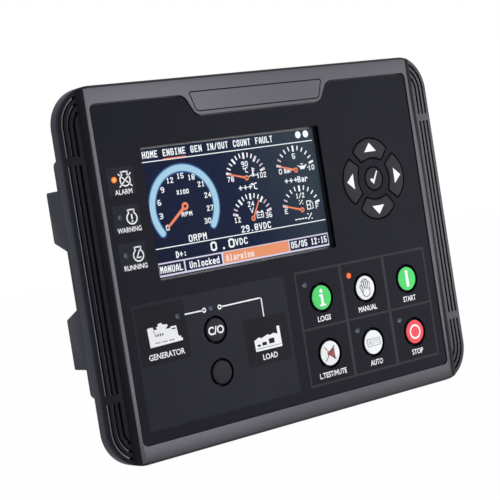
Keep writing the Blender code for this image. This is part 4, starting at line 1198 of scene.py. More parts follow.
# %% Engine badges beside the status lamps
BADGE_RADIUS = 2.75 * MM
BADGE_STROKE = 0.62 * MM
ENGINE_BADGES = {"alarm": (-77.2, 38.75), "warning": (-76.8, 22.8), "running": (-76.5, 7.1)}
for badge_x, badge_z in ENGINE_BADGES.values():
    spot = mm_point(badge_x, badge_z)
    white.ring(spot, BADGE_RADIUS, BADGE_RADIUS - BADGE_STROKE, -237, 57, 48)
    top = [mm_point(badge_x + dx, badge_z + dz) for dx, dz in
           ((-1.25, 2.2), (-1.7, 3.5), (1.7, 3.5), (1.25, 2.2))]
    white.line(top, BADGE_STROKE)
alarm_x, alarm_z = ENGINE_BADGES["alarm"]
for lean in (1, -1):
    white.line([mm_point(alarm_x - 2.9 * lean, alarm_z - 2.6), mm_point(alarm_x + 2.9 * lean, alarm_z + 2.6)],
               BADGE_STROKE * 0.9)
warning_x, warning_z = ENGINE_BADGES["warning"]
white.line([mm_point(warning_x, warning_z + 1.3), mm_point(warning_x, warning_z - 0.1)], 0.75 * MM)
white.shape(circle(0.42 * MM, mm_point(warning_x, warning_z - 1.3), 20))
running_x, running_z = ENGINE_BADGES["running"]
white.line([mm_point(running_x + 0.7, running_z + 1.9), mm_point(running_x - 0.9, running_z - 0.9),
            mm_point(running_x + 1.0, running_z - 0.9)], BADGE_STROKE * 0.9)

# %% Generator and factory pictures
GENERATOR_SHAPE = (
    (0, 0), (16.5, 0.5), (16.7, 1.6), (15.9, 1.6), (15.9, 2.5), (14.7, 2.7), (14.25, 7.2), (11.25, 7.2),
    (11.25, 6.6), (8.75, 6.6), (10.2, 7.9), (9.7, 8.5), (7.3, 8.75), (7.2, 9.55), (5.1, 9.25), (5.3, 8.4),
    (4.1, 8.0), (4.7, 7.1), (3.0, 7.1), (2.5, 8.3), (0.3, 8.3), (-0.3, 8.0),
)
FACTORY_SHAPE = (
    (0, 0), (14.8, 0), (14.6, 9.25), (13.1, 9.25), (13.1, 5.8), (11.1, 6.6), (8.6, 6.0), (7.6, 6.6),
    (4.0, 5.4), (2.6, 6.0), (-0.2, 4.9),
)
GENERATOR_FOOT = (-77.9, -31.9)
FACTORY_FOOT = (-24.3, -43.8)


def picture(shape, foot, windows):
    """A white silhouette with small openings, given in millimetres from its foot."""
    outline = [mm_point(foot[0] + x, foot[1] + z) for x, z in shape]
    holes = [mm_box((foot[0] + a, foot[1] + b, foot[0] + c, foot[1] + d)) for a, b, c, d in windows]
    white.shape(outline, holes)


louvres = [(3.2 + 1.15 * i, 4.2, 3.8 + 1.15 * i, 5.2) for i in range(4)]
louvres += [(2.6 + 3.5 * i, 1.4, 5.4 + 3.5 * i, 1.7) for i in range(3)]
picture(GENERATOR_SHAPE, GENERATOR_FOOT, louvres + [(11.9, 5.9, 13.8, 6.4), (2.7, 5.6, 3.0, 6.9)])
picture(FACTORY_SHAPE, FACTORY_FOOT, [(1.2, 2.0, 3.0, 2.9), (3.9, 2.1, 6.4, 3.5), (7.8, 2.3, 10.9, 4.5),
                                      (0.6, 1.0, 14.2, 1.2)])
white.piece(WHITE_PRINT, slot="sheet_print")
print("legends printed")

# %% [markdown]
# ## Symbols on the keys
# Each key's symbol is ink on its own cap, so it rides on that key's body. The hand is drawn as
# outlines: a dark shape for each finger, with a paler one laid on it.

# %% Symbols
CAP_INK_Y = KEY_FRONT_Y - INK_LIFT


def key_ink(name, layer=0):
    """Ink on one key's cap, in the order in which it is laid."""
    return Ink(f"symbol_{name}_{layer}", CAP_INK_Y - layer * INK_LIFT)


def capsule(first, second, width, sides=10):
    """A rounded bar between two points in millimetres."""
    a, b = Vector(first), Vector(second)
    heading = math.degrees(math.atan2(b.y - a.y, b.x - a.x))
    points = arc(tuple(b), width / 2, heading - 90, heading + 90, sides)
    points += arc(tuple(a), width / 2, heading + 90, heading + 270, sides)
    return [(x * MM, z * MM) for x, z in points]


def about(name, points):
    """Millimetre offsets from a key's centre as points of the face."""
    centre = middle_of("key_" + name)
    return [(centre[0] + x * MM, centre[1] + z * MM) for x, z in points]


def finish_symbol(ink, name, mat=WHITE_PRINT, slot="key_white"):
    """A symbol's ink as a piece that rides on its key's body."""
    ink.piece(mat, "key_" + name, slot)


ARROW_BASE, ARROW_TIP, ARROW_HALF = 12.8, 17.0, 3.7
arrow_corners = ((-ARROW_HALF, ARROW_BASE), (ARROW_HALF, ARROW_BASE), (0, ARROW_TIP))
triangle = [mm_point(*corner) for corner in arrow_corners]
for key_name, quarter in ARROWS.items():
    ink = key_ink(key_name)
    ink.shape(shifted(turned(triangle, quarter), *NAV_CENTRE))
    finish_symbol(ink, key_name)

ink = key_ink("confirm")
ink.shape(about("confirm", ((-2.5, -0.5), (-0.6, -2.6), (2.6, 3.3), (2.0, 3.5), (-0.5, -0.4), (-1.9, 0.4))))
finish_symbol(ink, "confirm")

ink = key_ink("stop")
ink.ring(middle_of("key_stop"), 3.5 * MM, 2.65 * MM)
finish_symbol(ink, "stop")

ink = key_ink("start")
ink.shape(about("start", ((-0.85, -3.9), (0.85, -3.9), (0.85, 4.0), (-0.85, 4.0))))
finish_symbol(ink, "start")

ink = key_ink("logs")
ink.shape(about("logs", ((-1.9, -3.9), (1.9, -3.9), (1.9, -3.2), (0.8, -3.0), (0.8, 1.5), (-1.5, 1.5),
                         (-1.5, 0.8), (-0.7, 0.6), (-0.7, -3.0), (-1.9, -3.2))))
dot_place = about("logs", ((0.0, 3.0),))[0]
ink.shape(circle(0.95 * MM, dot_place, 28))
finish_symbol(ink, "logs")

ink = key_ink("breaker")
ink.words("C/O", about("breaker", ((0.0, -0.1),))[0], 3.3 * MM, 8.4 * MM, 0.03)
finish_symbol(ink, "breaker")

# %% The hand, the horn and the faint word
FINGERS = (((-1.1, -0.3), (-1.7, 2.9)), ((0.0, -0.2), (-0.35, 3.7)), ((1.05, -0.3), (0.95, 3.4)),
           ((2.0, -0.6), (2.1, 2.3)), ((-1.6, -1.4), (-2.7, 1.0)))
hand_x, hand_z = [value / MM for value in middle_of("key_manual")]
HAND_LAYERS = ((1.5, INK_PRINT, "key_black"), (0.66, KEY_WHITE, "key_white"))
PALM_RADIUS, PALM_STEP = 2.5, 0.42
for layer, (width, mat, slot_name) in enumerate(HAND_LAYERS):
    ink = key_ink("manual", layer)
    for first, second in FINGERS:
        root, tip = [(hand_x + x, hand_z + z) for x, z in (first, second)]
        ink.shape(capsule(root, tip, width))
    palm = PALM_RADIUS - PALM_STEP * layer
    ink.shape([mm_point(hand_x + 0.25 + palm * math.cos(a), hand_z - 1.9 + palm * 0.95 * math.sin(a))
               for a in (2 * math.pi * i / 40 for i in range(40))])
    finish_symbol(ink, "manual", mat, slot_name)

ink = key_ink("lamp_test")
ink.shape(about("lamp_test", ((-1.7, -0.9), (-0.5, -0.9), (2.6, -3.4), (2.6, 2.9), (-0.5, 0.9), (-1.7, 0.9))))
for lean in (1, -1):
    bar = about("lamp_test", ((-3.0, -3.1 * lean), (2.9, 3.0 * lean)))
    ink.line(bar, 0.42 * MM)
finish_symbol(ink, "lamp_test", DARK_RED_PRINT, "key_red")
ink = key_ink("lamp_test", 1)
ink.line(about("lamp_test", ((-0.9, 0.8), (1.2, -1.4))), 0.3 * MM)
finish_symbol(ink, "lamp_test", KEY_RED, "key_red")

ink = key_ink("auto")
auto_box = about("auto", ((-4.0, -1.8), (4.2, -1.8), (4.2, 1.9), (-4.0, 1.9)))
ink.shape(auto_box, [grown(auto_box, -0.35 * MM)])
ink.words("AUTO", about("auto", ((0.1, 0.05),))[0], 2.1 * MM, 6.4 * MM)
finish_symbol(ink, "auto", FAINT_PRINT)
print("key symbols printed")

# %% [markdown]
# ## The display picture
# The picture is 480 by 272 pixels, so we draw it in those units. Its background is a dark panel
# whose blue shifts towards grey green at the upper right. The marks of one colour are one piece,
# apart from the ticks of the dials.

# %% Screen units and background
PIXELS_WIDE, PIXELS_HIGH = 480, 272
SCREEN_Y = module_low.y - 0.02 * MM


def screen(px, py):
    """A point of the picture, in pixels from its upper left corner."""
    return (SCREEN_LEFT + px / PIXELS_WIDE * SCREEN_WIDTH, SCREEN_TOP - py / PIXELS_HIGH * SCREEN_HEIGHT)


UNIT = SCREEN_WIDTH / PIXELS_WIDE


def screen_box(left, top, right, low):
    """A rectangle of the picture."""
    return [screen(left, low), screen(right, low), screen(right, top), screen(left, top)]


SHADE_SLOPE = 0.45
SHADES = ((0.0, (0.001, 0.004, 0.026)), (0.5, (0.002, 0.008, 0.038)), (1.0, (0.034, 0.052, 0.066)))


def background_material():
    """Navy at the left, grey green at the upper right, in emission with the pixel grid."""
    mat = glowing("screen_background", (0.010, 0.016, 0.050), grid=0.05)
    tree = mat.node_tree
    tint = [node for node in tree.nodes if node.bl_idname == "ShaderNodeMix"][0]
    place = add_node(tree, "ShaderNodeTexCoord").outputs["Object"]
    corner = (-SCREEN_LEFT, 0, -(SCREEN_TOP - SCREEN_HEIGHT))
    centre = add_node(tree, "ShaderNodeMapping", {"Vector": place, "Location": corner})
    split = add_node(tree, "ShaderNodeSeparateXYZ", {0: centre.outputs["Vector"]})
    scale = add_node(tree, "ShaderNodeMapRange", {
        "Value": reckon(tree, "MULTIPLY_ADD", split.outputs["Z"], SHADE_SLOPE, split.outputs["X"]),
        "From Max": SCREEN_WIDTH + SHADE_SLOPE * SCREEN_HEIGHT,
    })
    ramp = add_node(tree, "ShaderNodeValToRGB", {"Fac": scale.outputs["Result"]})
    ramp.color_ramp.elements.new(SHADES[1][0])
    for stop, (_, colour) in zip(ramp.color_ramp.elements, SHADES):
        stop.color = (*colour, 1)
    plug(tree, tint, {"B": ramp.outputs["Color"]})
    return mat


backdrop = screen_box(-4, -2, PIXELS_WIDE + 2, PIXELS_HIGH + 2)
plain_ink("screen_backdrop", SCREEN_Y, [backdrop], background_material())
print("one picture pixel is", round(UNIT / MM, 3), "mm")

# %% A stroke font for the display
# Each letter is drawn on a grid 4 wide and 6 high. A run of digit pairs is one line through the
# points x, z, and a single pair is a dot.
STROKE_FONT = {
    "A": "0004264440 0242", "B": "00063645443303 3342413000", "C": "4536160501103041", "D": "00062644422000",
    "E": "46060040 0333", "F": "460600 0333", "G": "45361605011030414323", "H": "0006 4046 0343",
    "I": "1636 2620 1030", "L": "060040", "M": "0006234640", "N": "00064046", "O": "100105163645413010",
    "P": "00063645443303", "R": "00063645443303 2340", "T": "0646 2620", "U": "060110304146", "V": "062046",
    "X": "0640 0046", "a": "1434434010011242", "c": "4334140301103041", "d": "464010010314 1444",
    "e": "0242433414030110 1040", "g": "4010010314444110", "i": "142420 1030 26", "k": "0600 440240",
    "l": "162620 1030", "m": "000434434000 2420", "n": "0004344340", "o": "100103143443413010",
    "r": "0004 03143443", "0": "100105163645413010", "1": "152620 1030", "2": "051636450040",
    "3": "063645443342413000 3313", "4": "30360242", "5": "460603334241301001", "6": "36160501103041423303",
    "7": "064610", "8": "0304051636454433020110304142 3313", "9": "10304145361605041343", "/": "0046",
    "+": "0343 2125", "-": "0343", ".": "20", ":": "21 24", "%": "0046 06 40",
    "~": "0616150506 463625213040",
}
print(len(STROKE_FONT), "letters in the stroke font")

# %% Words on the display
SCREEN_WORDS = (
    ("HOME", 27, 10.5, 15, 39), ("ENGINE", 90, 10.5, 15, 59), ("GEN", 148.5, 10.5, 15, 30),
    ("IN/OUT", 206, 10.5, 15, 58), ("COUNT", 273.5, 10.5, 15, 48), ("FAULT", 336.7, 10.5, 15, 49),
    ("X100", 96, 98.7, 10, 32), ("RPM", 98, 147, 10, 28), ("0RPM", 116.5, 200.4, 15, 48),
    ("90", 272.5, 58, 12, 18), ("~", 272.5, 72, 12, 13), ("78", 228, 87.5, 12, 18),
    ("102", 315, 87.5, 12, 27), ("5", 414.7, 56, 12, 9), ("0", 370, 86.8, 12, 9),
    ("10", 461.6, 86.8, 12, 18), ("Bar", 392, 87, 10, 22), ("24", 273, 148, 12, 18),
    ("V", 273, 162.5, 12, 11), ("12", 229.5, 178.5, 12, 18), ("36", 318.4, 178.5, 12, 18),
    ("1/2", 416, 147, 12, 25), ("%", 416, 162.3, 10, 11), ("E", 369.5, 177.7, 12, 9),
    ("F", 461.6, 177, 12, 9), ("+++", 265, 110, 14, 38), ("~", 290, 110, 15, 16),
    ("+++", 397, 110, 14, 38), ("Bar", 431, 110, 14, 30), ("29.8VDC", 278, 200.4, 15, 84),
    ("----", 409, 200, 14, 36), ("%", 436, 197, 14, 13), ("D+:", 67.3, 229.7, 14, 28),
    ("VDC", 230.7, 226, 15, 35), ("MANUAL", 36.5, 256.5, 15, 58), ("Unlocked", 124, 256.5, 15, 80),
    ("05/05 12:15", 421, 255.5, 15, 106),
)
THIN_STROKE, BOLD_STROKE, BIG_STROKE = 2.1, 2.6, 4.0
text_ink = Ink("screen_white_marks", SCREEN_Y - 3 * INK_LIFT)
for words, px, py, tall, wide in SCREEN_WORDS:
    thick = BOLD_STROKE if tall > 13 else THIN_STROKE
    text_ink.strokes(words, screen(px, py), tall * UNIT, wide * UNIT, thick * UNIT)
for digit, px in (("0", 154.6), (".", 181), ("0", 203.3)):
    text_ink.strokes(digit, screen(px, 226), 20 * UNIT, 16.6 * UNIT, BIG_STROKE * UNIT)

# %% Rules, dots, dial numbers and small pictures
DIAL_CENTRE = (96.3, 130.0)
DIAL_NUMBERS = 66.0
DIAL_START, DIAL_END = 217, -36
for number in range(0, 31, 3):
    angle = math.radians(DIAL_START + (DIAL_END - DIAL_START) * number / 30)
    spot = screen(DIAL_CENTRE[0] + DIAL_NUMBERS * math.cos(angle),
                  DIAL_CENTRE[1] - DIAL_NUMBERS * math.sin(angle))
    text_ink.strokes(str(number), spot, 12 * UNIT, (9 if number < 10 else 18) * UNIT, THIN_STROKE * UNIT)
text_ink.shape(screen_box(-4, 24.6, 476, 26.6))
text_ink.shape(screen_box(-4, 210.2, 480, 212.2))
for dot_px in (437, 459.6):
    text_ink.shape(circle(8.2 * UNIT, screen(dot_px, 9), 40))

battery = screen_box(284, 168.5, 304, 182)
text_ink.shape(battery, [grown(battery, -2 * UNIT)])
BATTERY_MARKS = ((286, 165.5, 290, 168.5), (298, 165.5, 302, 168.5), (287.5, 174.3, 292.5, 176.3),
                 (295.5, 174.3, 300.5, 176.3), (297, 172.8, 299, 177.8))
for mark in BATTERY_MARKS:
    text_ink.shape(screen_box(*mark))
pump = screen_box(431, 161, 443, 182)
text_ink.shape(pump, [grown(pump, -2.2 * UNIT)])
text_ink.shape(screen_box(433, 170, 441, 172.4))
text_ink.line([screen(444, 163), screen(449.5, 168), screen(449.5, 180), screen(445, 180)], 2 * UNIT)
text_ink.shape(screen_box(290, 68, 293.5, 83))
text_ink.shape(circle(3.2 * UNIT, screen(291.7, 83), 20))
for low_py, reach in ((71.5, 4.5), (75.5, 3.5)):
    text_ink.shape(screen_box(293.5, low_py - 1, 293.5 + reach, low_py + 1))
coolant_wave = ((280, 87), (285, 85), (289, 87), (294, 87), (299, 85), (303, 87))
text_ink.line([screen(*point) for point in coolant_wave], 1.8 * UNIT)
text_ink.shape([screen(428, 80), screen(441, 80), screen(450, 77), screen(441, 88), screen(429, 88)])
text_ink.line([screen(423, 79), screen(429, 83)], 2 * UNIT)
text_ink.line([screen(432, 76), screen(438, 76)], 2 * UNIT)
text_ink.shape(circle(1.6 * UNIT, screen(451.5, 86), 14))
text_ink.piece(SCREEN_WHITE, slot="display_glass")

pale_ink = Ink("screen_pale_words", SCREEN_Y - 5 * INK_LIFT)
pale_ink.strokes("Alarming", screen(221, 256.5), 15 * UNIT, 78 * UNIT, 3.2 * UNIT)
pale_ink.piece(SCREEN_PALE, slot="display_glass")
print("white marks drawn")

# %% [markdown]
# ## Dial ticks with Geometry Nodes
# A dial's ticks are one bar repeated along an arc. That is a rule, so Geometry Nodes place them:
# points numbered from 0 turn into angles, and a small bar is set on each, pointing outwards.

# %% Helpers for node groups


def new_group(name, kinds):
    """An empty geometry group with named inputs, and the node that gives them."""
    tree = bpy.data.node_groups.new(name, "GeometryNodeTree")
    tree.interface.new_socket("Geometry", in_out="OUTPUT", socket_type="NodeSocketGeometry")
    for label, kind in kinds.items():
        tree.interface.new_socket(label, in_out="INPUT", socket_type="NodeSocket" + kind)
    return tree, tree.nodes.new("NodeGroupInput").outputs


def paint_copies(tree, given, plugs):
    """Sets a shape on points, makes the copies real, gives them their material and ends the group."""
    copies = add_node(tree, "GeometryNodeInstanceOnPoints", plugs)
    real = add_node(tree, "GeometryNodeRealizeInstances", {0: copies.outputs[0]})
    paint = add_node(tree, "GeometryNodeSetMaterial", {
        "Geometry": real.outputs[0],
        "Material": given["Material"],
    })
    add_node(tree, "NodeGroupOutput", {0: paint.outputs[0]})


def run_tree(name, tree, mat, places=(), **values):
    """Runs a group on a mesh of places with its inputs set, and returns a plain mesh object."""
    data = bpy.data.meshes.new(name)
    data.from_pydata([tuple(place) for place in places], [], [])
    holder = put(name, data)
    step = holder.modifiers.new("nodes", "NODES")
    step.node_group = tree
    values["Material"] = mat
    for item in tree.interface.items_tree:
        if item.item_type == "SOCKET" and item.in_out == "INPUT" and item.name in values:
            step[item.identifier] = values[item.name]
    settle(holder)
    return holder


print("a group takes its sizes from named inputs")

# %% The tick tree
TICK_KINDS = {"Count": "Int", "Radius": "Float", "Start": "Float", "Step": "Float",
              "Length": "Float", "Width": "Float", "Centre": "Vector", "Material": "Material"}
TICK_THICK = 0.02 * MM


def tick_tree():
    """A node tree that sets bars on an arc; the sizes are its named inputs."""
    tree, given = new_group("dial_ticks", TICK_KINDS)
    points = add_node(tree, "GeometryNodePoints", {"Count": given["Count"]})
    index = add_node(tree, "GeometryNodeInputIndex").outputs[0]
    angle = reckon(tree, "MULTIPLY_ADD", index, given["Step"], given["Start"])
    place = add_node(tree, "ShaderNodeCombineXYZ")
    for axis, operation in (("X", "COSINE"), ("Z", "SINE")):
        reach = reckon(tree, "MULTIPLY", reckon(tree, operation, angle), given["Radius"])
        plug(tree, place, {axis: reach})
    terms = {0: place.outputs[0], 1: given["Centre"]}
    centred = add_node(tree, "ShaderNodeVectorMath", terms, operation="ADD")
    moved = add_node(tree, "GeometryNodeSetPosition", {
        "Geometry": points.outputs[0],
        "Position": centred.outputs[0],
    })
    lengths = {"X": given["Length"], "Y": TICK_THICK, "Z": given["Width"]}
    size = add_node(tree, "ShaderNodeCombineXYZ", lengths)
    bar = add_node(tree, "GeometryNodeMeshCube", {"Size": size.outputs[0]})
    turn = add_node(tree, "ShaderNodeCombineXYZ", {"Y": reckon(tree, "MULTIPLY", angle, -1.0)})
    paint_copies(tree, given, {
        "Points": moved.outputs[0],
        "Instance": bar.outputs["Mesh"],
        "Rotation": turn.outputs[0],
    })
    return tree


TICKS = tick_tree()
print("the tick tree has", len(TICKS.nodes), "nodes")

# %% Ticks of the four dials
TICK_OUTER, TICK_INNER, TICK_LONG = 56.5, 46.0, 42.5
SWEEP_START, SWEEP_END = 164.0, 16.0
DIALS = {
    "coolant": ((272.5, 89.1), 12, 3, ((9, 4),)),
    "oil": ((415.4, 88.1), 10, 5, ((0, 2),)),
    "battery": ((274.1, 180.7), 12, 3, ((0, 2), (10, 3))),
    "fuel": ((416.3, 180.0), 10, 5, ((0, 2),)),
}


def add_ticks(name, mat, dial, first, count, every, inner, width, lift):
    """A run of ticks on one dial, from a division, in one colour."""
    (px, py), divisions = DIALS[dial][:2]
    spot = screen(px, py)
    step_angle = (SWEEP_END - SWEEP_START) / divisions
    ticks = run_tree(
        name, TICKS, mat,
        Count=count,
        Radius=(TICK_OUTER + inner) / 2 * UNIT,
        Start=math.radians(SWEEP_START + first * step_angle),
        Step=math.radians(step_angle * every),
        Length=(TICK_OUTER - inner) * UNIT,
        Width=width * UNIT,
        Centre=(spot[0], SCREEN_Y - lift * INK_LIFT, spot[1]),
    )
    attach(ticks, CASE)


for dial, (centre, divisions, every, limits) in DIALS.items():
    add_ticks(f"ticks_{dial}_fine", SCREEN_WHITE, dial, 0, divisions + 1, 1, TICK_INNER, 3.2, 3)
    add_ticks(f"ticks_{dial}_long", SCREEN_WHITE, dial, 0, divisions // every + 1, every, TICK_LONG, 5.2, 3)
    for first, count in limits:
        limit_name = f"ticks_{dial}_limit_{first}"
        add_ticks(limit_name, SCREEN_PINK, dial, first, count, 1, TICK_INNER + 0.5, 2.8, 4.5)
print(len(DIALS), "dials with ticks")

# %% Coloured marks of the display
DIAL_MID = 83.4
DIAL_BAND = 14.5
DIAL_EDGE = 5.6
DIAL_TRIM = 0.6


def dial_band(width):
    """The outline of the speed dial's arc, a band with round ends, for a width in display pixels."""
    spot = screen(*DIAL_CENTRE)
    mid, half = DIAL_MID * UNIT, width / 2 * UNIT
    band = arc(spot, mid + half, DIAL_END, DIAL_START, 96)
    for end_angle, heading in ((DIAL_START, DIAL_START), (DIAL_END, DIAL_END + 180)):
        turn = math.radians(end_angle)
        tip = (spot[0] + mid * math.cos(turn), spot[1] + mid * math.sin(turn))
        band += arc(tip, half, heading, heading + 180, 12)[1:-1]
        if end_angle == DIAL_START:
            band += arc(spot, mid - half, DIAL_START, DIAL_END, 96)
    return band


EDGE_Y = SCREEN_Y - 0.5 * INK_LIFT
plain_ink("screen_blue_edge", EDGE_Y, [dial_band(DIAL_BAND + DIAL_EDGE)], SCREEN_DEEP)
plain_ink("screen_blue_arc", SCREEN_Y - INK_LIFT, [dial_band(DIAL_BAND - DIAL_TRIM)], SCREEN_BLUE)

orange = Ink("screen_orange_marks", SCREEN_Y - 4 * INK_LIFT)


def needle(centre, tip, root_width, tip_width, hub_outer, hub_inner):
    """A tapered pointer from a ring hub to its tip, in pixels."""
    a, b = Vector(screen(*centre)), Vector(screen(*tip))
    along = (b - a).normalized()
    side = Vector((-along.y, along.x))
    start = a + along * hub_outer * UNIT * 0.9
    orange.shape([tuple(start - side * root_width * UNIT / 2), tuple(b - side * tip_width * UNIT / 2),
                  tuple(b + side * tip_width * UNIT / 2), tuple(start + side * root_width * UNIT / 2)])
    orange.ring(tuple(a), hub_outer * UNIT, hub_inner * UNIT, steps=36)


needle(DIAL_CENTRE, (44, 170), 7.0, 5.5, 9.0, 3.4)
NEEDLE_TIPS = {"coolant": (224, 76), "oil": (364, 74), "battery": (297, 142), "fuel": (364, 165)}
for dial, tip in NEEDLE_TIPS.items():
    needle(DIALS[dial][0], tip, 4.6, 3.2, 6.0, 2.4)
orange.shape(screen_box(59, 22.5, 119, 25))
orange.piece(SCREEN_ORANGE, slot="display_glass")

# %% The status bar
BAR_TOP, BAR_LOW = 241.5, 271.5
CELLS = ((5.5, 70), (74, 171), (364, 478))
CELL_Y = SCREEN_Y - 2 * INK_LIFT
bar = screen_box(2.5, BAR_TOP, PIXELS_WIDE, BAR_LOW)
plain_ink("screen_bar_frame", SCREEN_Y - INK_LIFT, [bar], SCREEN_FRAME)
cells = [screen_box(left, BAR_TOP + 3.0, right, BAR_LOW - 4.0) for left, right in CELLS]
plain_ink("screen_bar_cells", CELL_Y, cells, SCREEN_DARK)
alarm_cell = screen_box(176, BAR_TOP + 2.0, 361, BAR_LOW - 4.0)
plain_ink("screen_alarm_cell", CELL_Y, [alarm_cell], glowing("screen_alarm_orange", (0.90, 0.33, 0.16)))
print("display drawn")

# %% [markdown]
# ## The rear housing
# Behind the panel the housing is a plain moulding with a spark-eroded grain. It is a flange, a
# body, a raised back and four towers joined together, then hollowed and cut for its connectors.

# %% Build the housing
housing_low, housing_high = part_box("rear_housing")
FLANGE_FRONT_Y = housing_low.y
FLANGE_BACK_Y = -0.8 * MM
BODY_WIDTH, BODY_HEIGHT = 180.0 * MM, 136.0 * MM
LEDGE_Y, BACK_Y = 15.0 * MM, 26.0 * MM
BACK_HEIGHT = 104.0 * MM
TOWER_Y = housing_high.y
TOWER_WIDTH = 24.0 * MM
TOWER_NEAR, TOWER_SLANT, TOWER_FAR = 12.5 * MM, 4.0 * MM, 39.0 * MM
TOWER_CORNER = 0.9 * MM
WALL = 2.2 * MM
SOFT_EDGE = 0.7 * MM


def soft_prism(outline, front_y, back_y, edge=SOFT_EDGE, steps=4):
    """A prism whose back edge is rounded."""
    rings = [(outline, front_y)]
    rings += [(grown(outline, -inset), back_y - rise) for rise, inset in edge_steps(edge, steps)]
    return rings


def tower(side, end):
    """One tower with a slanted inner flank and a softened end."""
    outer, inner = side * BODY_WIDTH / 2, side * (BODY_WIDTH / 2 - TOWER_WIDTH)
    rings = []
    for y, slant, inset in ((BACK_Y - WALL / 2, 0.0, 0.0), (BACK_Y, 0.0, 0.0),
                            (TOWER_Y - SOFT_EDGE, TOWER_SLANT, 0.0), (TOWER_Y, TOWER_SLANT, SOFT_EDGE * 0.7)):
        near, far = end * (TOWER_NEAR + slant), end * TOWER_FAR
        middle = ((outer + inner) / 2, (near + far) / 2)
        box = rounded_box(abs(outer - inner), abs(far - near), TOWER_CORNER, middle, 3)
        rings.append((grown(box, -inset) if inset else box, y))
    return rings


def build_housing():
    """The housing from its flange to its last cut."""
    flange = [(frame_outline(0.25 * MM), FLANGE_FRONT_Y), (frame_outline(), FLANGE_FRONT_Y + 0.25 * MM)]
    flange += [(frame_outline(inset), FLANGE_BACK_Y - rise) for rise, inset in edge_steps(SOFT_EDGE, 4)]
    piece = solid_object("housing_shell", [flange])
    body = rounded_box(BODY_WIDTH, BODY_HEIGHT, 4 * MM, steps=10)
    back = rounded_box(BODY_WIDTH, BACK_HEIGHT, 3 * MM, steps=10)
    carve(piece, [soft_prism(body, FLANGE_BACK_Y - MM, LEDGE_Y)], "UNION")
    carve(piece, [soft_prism(back, LEDGE_Y - MM, BACK_Y)], "UNION")
    carve(piece, [tower(side, end) for side in (-1, 1) for end in (-1, 1)], "UNION")
    carve(piece, [prism(frame_outline(SKIRT_INSET - 2 * GAP), FLANGE_FRONT_Y - MM, FLANGE_BACK_Y - WALL)])
    inside = rounded_box(BODY_WIDTH - 2 * WALL, BODY_HEIGHT - 2 * WALL, 4 * MM)
    carve(piece, [prism(inside, FLANGE_FRONT_Y, LEDGE_Y - WALL)])
    deep = rounded_box(BODY_WIDTH - 2 * WALL, BACK_HEIGHT - 2 * WALL, 3 * MM)
    carve(piece, [prism(deep, LEDGE_Y - WALL - MM, BACK_Y - WALL)])
    return piece


housing_shell = build_housing()
print("the housing has", len(housing_shell.data.polygons), "faces before its cuts")

# %% Openings in the back
HEADERS = ("top_left", "top_right", "bottom_left", "bottom_right")
VENTS, VENT_PITCH, VENT_X = 9, 5.0 * MM, 36.0 * MM
VENT_LENGTH, VENT_WIDTH, VENT_CHAMFER = 22.0 * MM, 2.2 * MM, 0.3 * MM
SCREW_HOLE = 1.7 * MM
CLIP_HALF_WIDTH, CLIP_HALF_LENGTH, CLIP_DEPTH = 1.7 * MM, 8 * MM, 7 * MM
SCREWS = [f"housing_screw_{i}" for i in range(1, 7)]
back_cuts = []
for name in HEADERS:
    low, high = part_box("header_" + name)
    room = 2 * GAP
    back_cuts.append(block((low.x - room, LEDGE_Y - WALL - MM, low.z - room),
                           (high.x + room, LEDGE_Y + MM, high.z + room)))
for name in SCREWS:
    back_cuts.append(prism(circle(SCREW_HOLE, middle_of(name), 24), LEDGE_Y - WALL - MM, LEDGE_Y + MM))
for side in (-1, 1):
    for i in range(VENTS):
        spot = (side * VENT_X, (i - (VENTS - 1) / 2) * VENT_PITCH)
        slot_outline = rounded_box(VENT_LENGTH, VENT_WIDTH, VENT_WIDTH / 2.01, spot, 6)
        wide = grown(slot_outline, VENT_CHAMFER)
        back_cuts.append([(slot_outline, BACK_Y - WALL - MM), (slot_outline, BACK_Y - VENT_CHAMFER),
                          (wide, BACK_Y), (wide, BACK_Y + MM)])
low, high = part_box("service_socket")
back_cuts.append(block((low.x - GAP, BACK_Y - WALL - MM, low.z - GAP),
                       (high.x + GAP, BACK_Y + MM, high.z + GAP)))
clip_z = (TOWER_NEAR + TOWER_SLANT + TOWER_FAR) / 2
for side in (-1, 1):
    for end in (-1, 1):
        x, z = side * (BODY_WIDTH - TOWER_WIDTH) / 2, end * clip_z
        back_cuts.append(block((x - CLIP_HALF_WIDTH, TOWER_Y - CLIP_DEPTH, z - CLIP_HALF_LENGTH),
                               (x + CLIP_HALF_WIDTH, TOWER_Y + MM, z + CLIP_HALF_LENGTH)))
carve(housing_shell, back_cuts)
gasket_low, gasket_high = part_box("panel_gasket")
GASKET_INSET = (FRAME_WIDTH - (gasket_high.x - gasket_low.x)) / 2
GASKET_WIDTH = 5.0 * MM
groove_y = gasket_low.y - GAP
groove_outer = frame_outline(GASKET_INSET - GAP)
groove_inner = frame_outline(GASKET_INSET + GASKET_WIDTH + GAP)
carve(housing_shell, [hoop(groove_outer, groove_inner, groove_y, FLANGE_BACK_Y + MM)])
dress(housing_shell, HOUSING_GREY, stands_for=("rear_housing",), crease=30)
print(len(back_cuts), "cuts in the back")

# %% The gasket
GASKET_SOFT = 0.4 * MM
gasket = solid_object("foam_gasket", [Hoop([
    (frame_outline(GASKET_INSET), gasket_low.y),
    (frame_outline(GASKET_INSET), gasket_high.y - GASKET_SOFT),
    (frame_outline(GASKET_INSET + GASKET_SOFT), gasket_high.y),
    (frame_outline(GASKET_INSET + GASKET_WIDTH - GASKET_SOFT), gasket_high.y),
    (frame_outline(GASKET_INSET + GASKET_WIDTH), gasket_high.y - GASKET_SOFT),
    (frame_outline(GASKET_INSET + GASKET_WIDTH), gasket_low.y),
])])
dress(gasket, GASKET_FOAM, stands_for=("panel_gasket",))
print("gasket", round(GASKET_WIDTH / MM, 1), "mm wide")

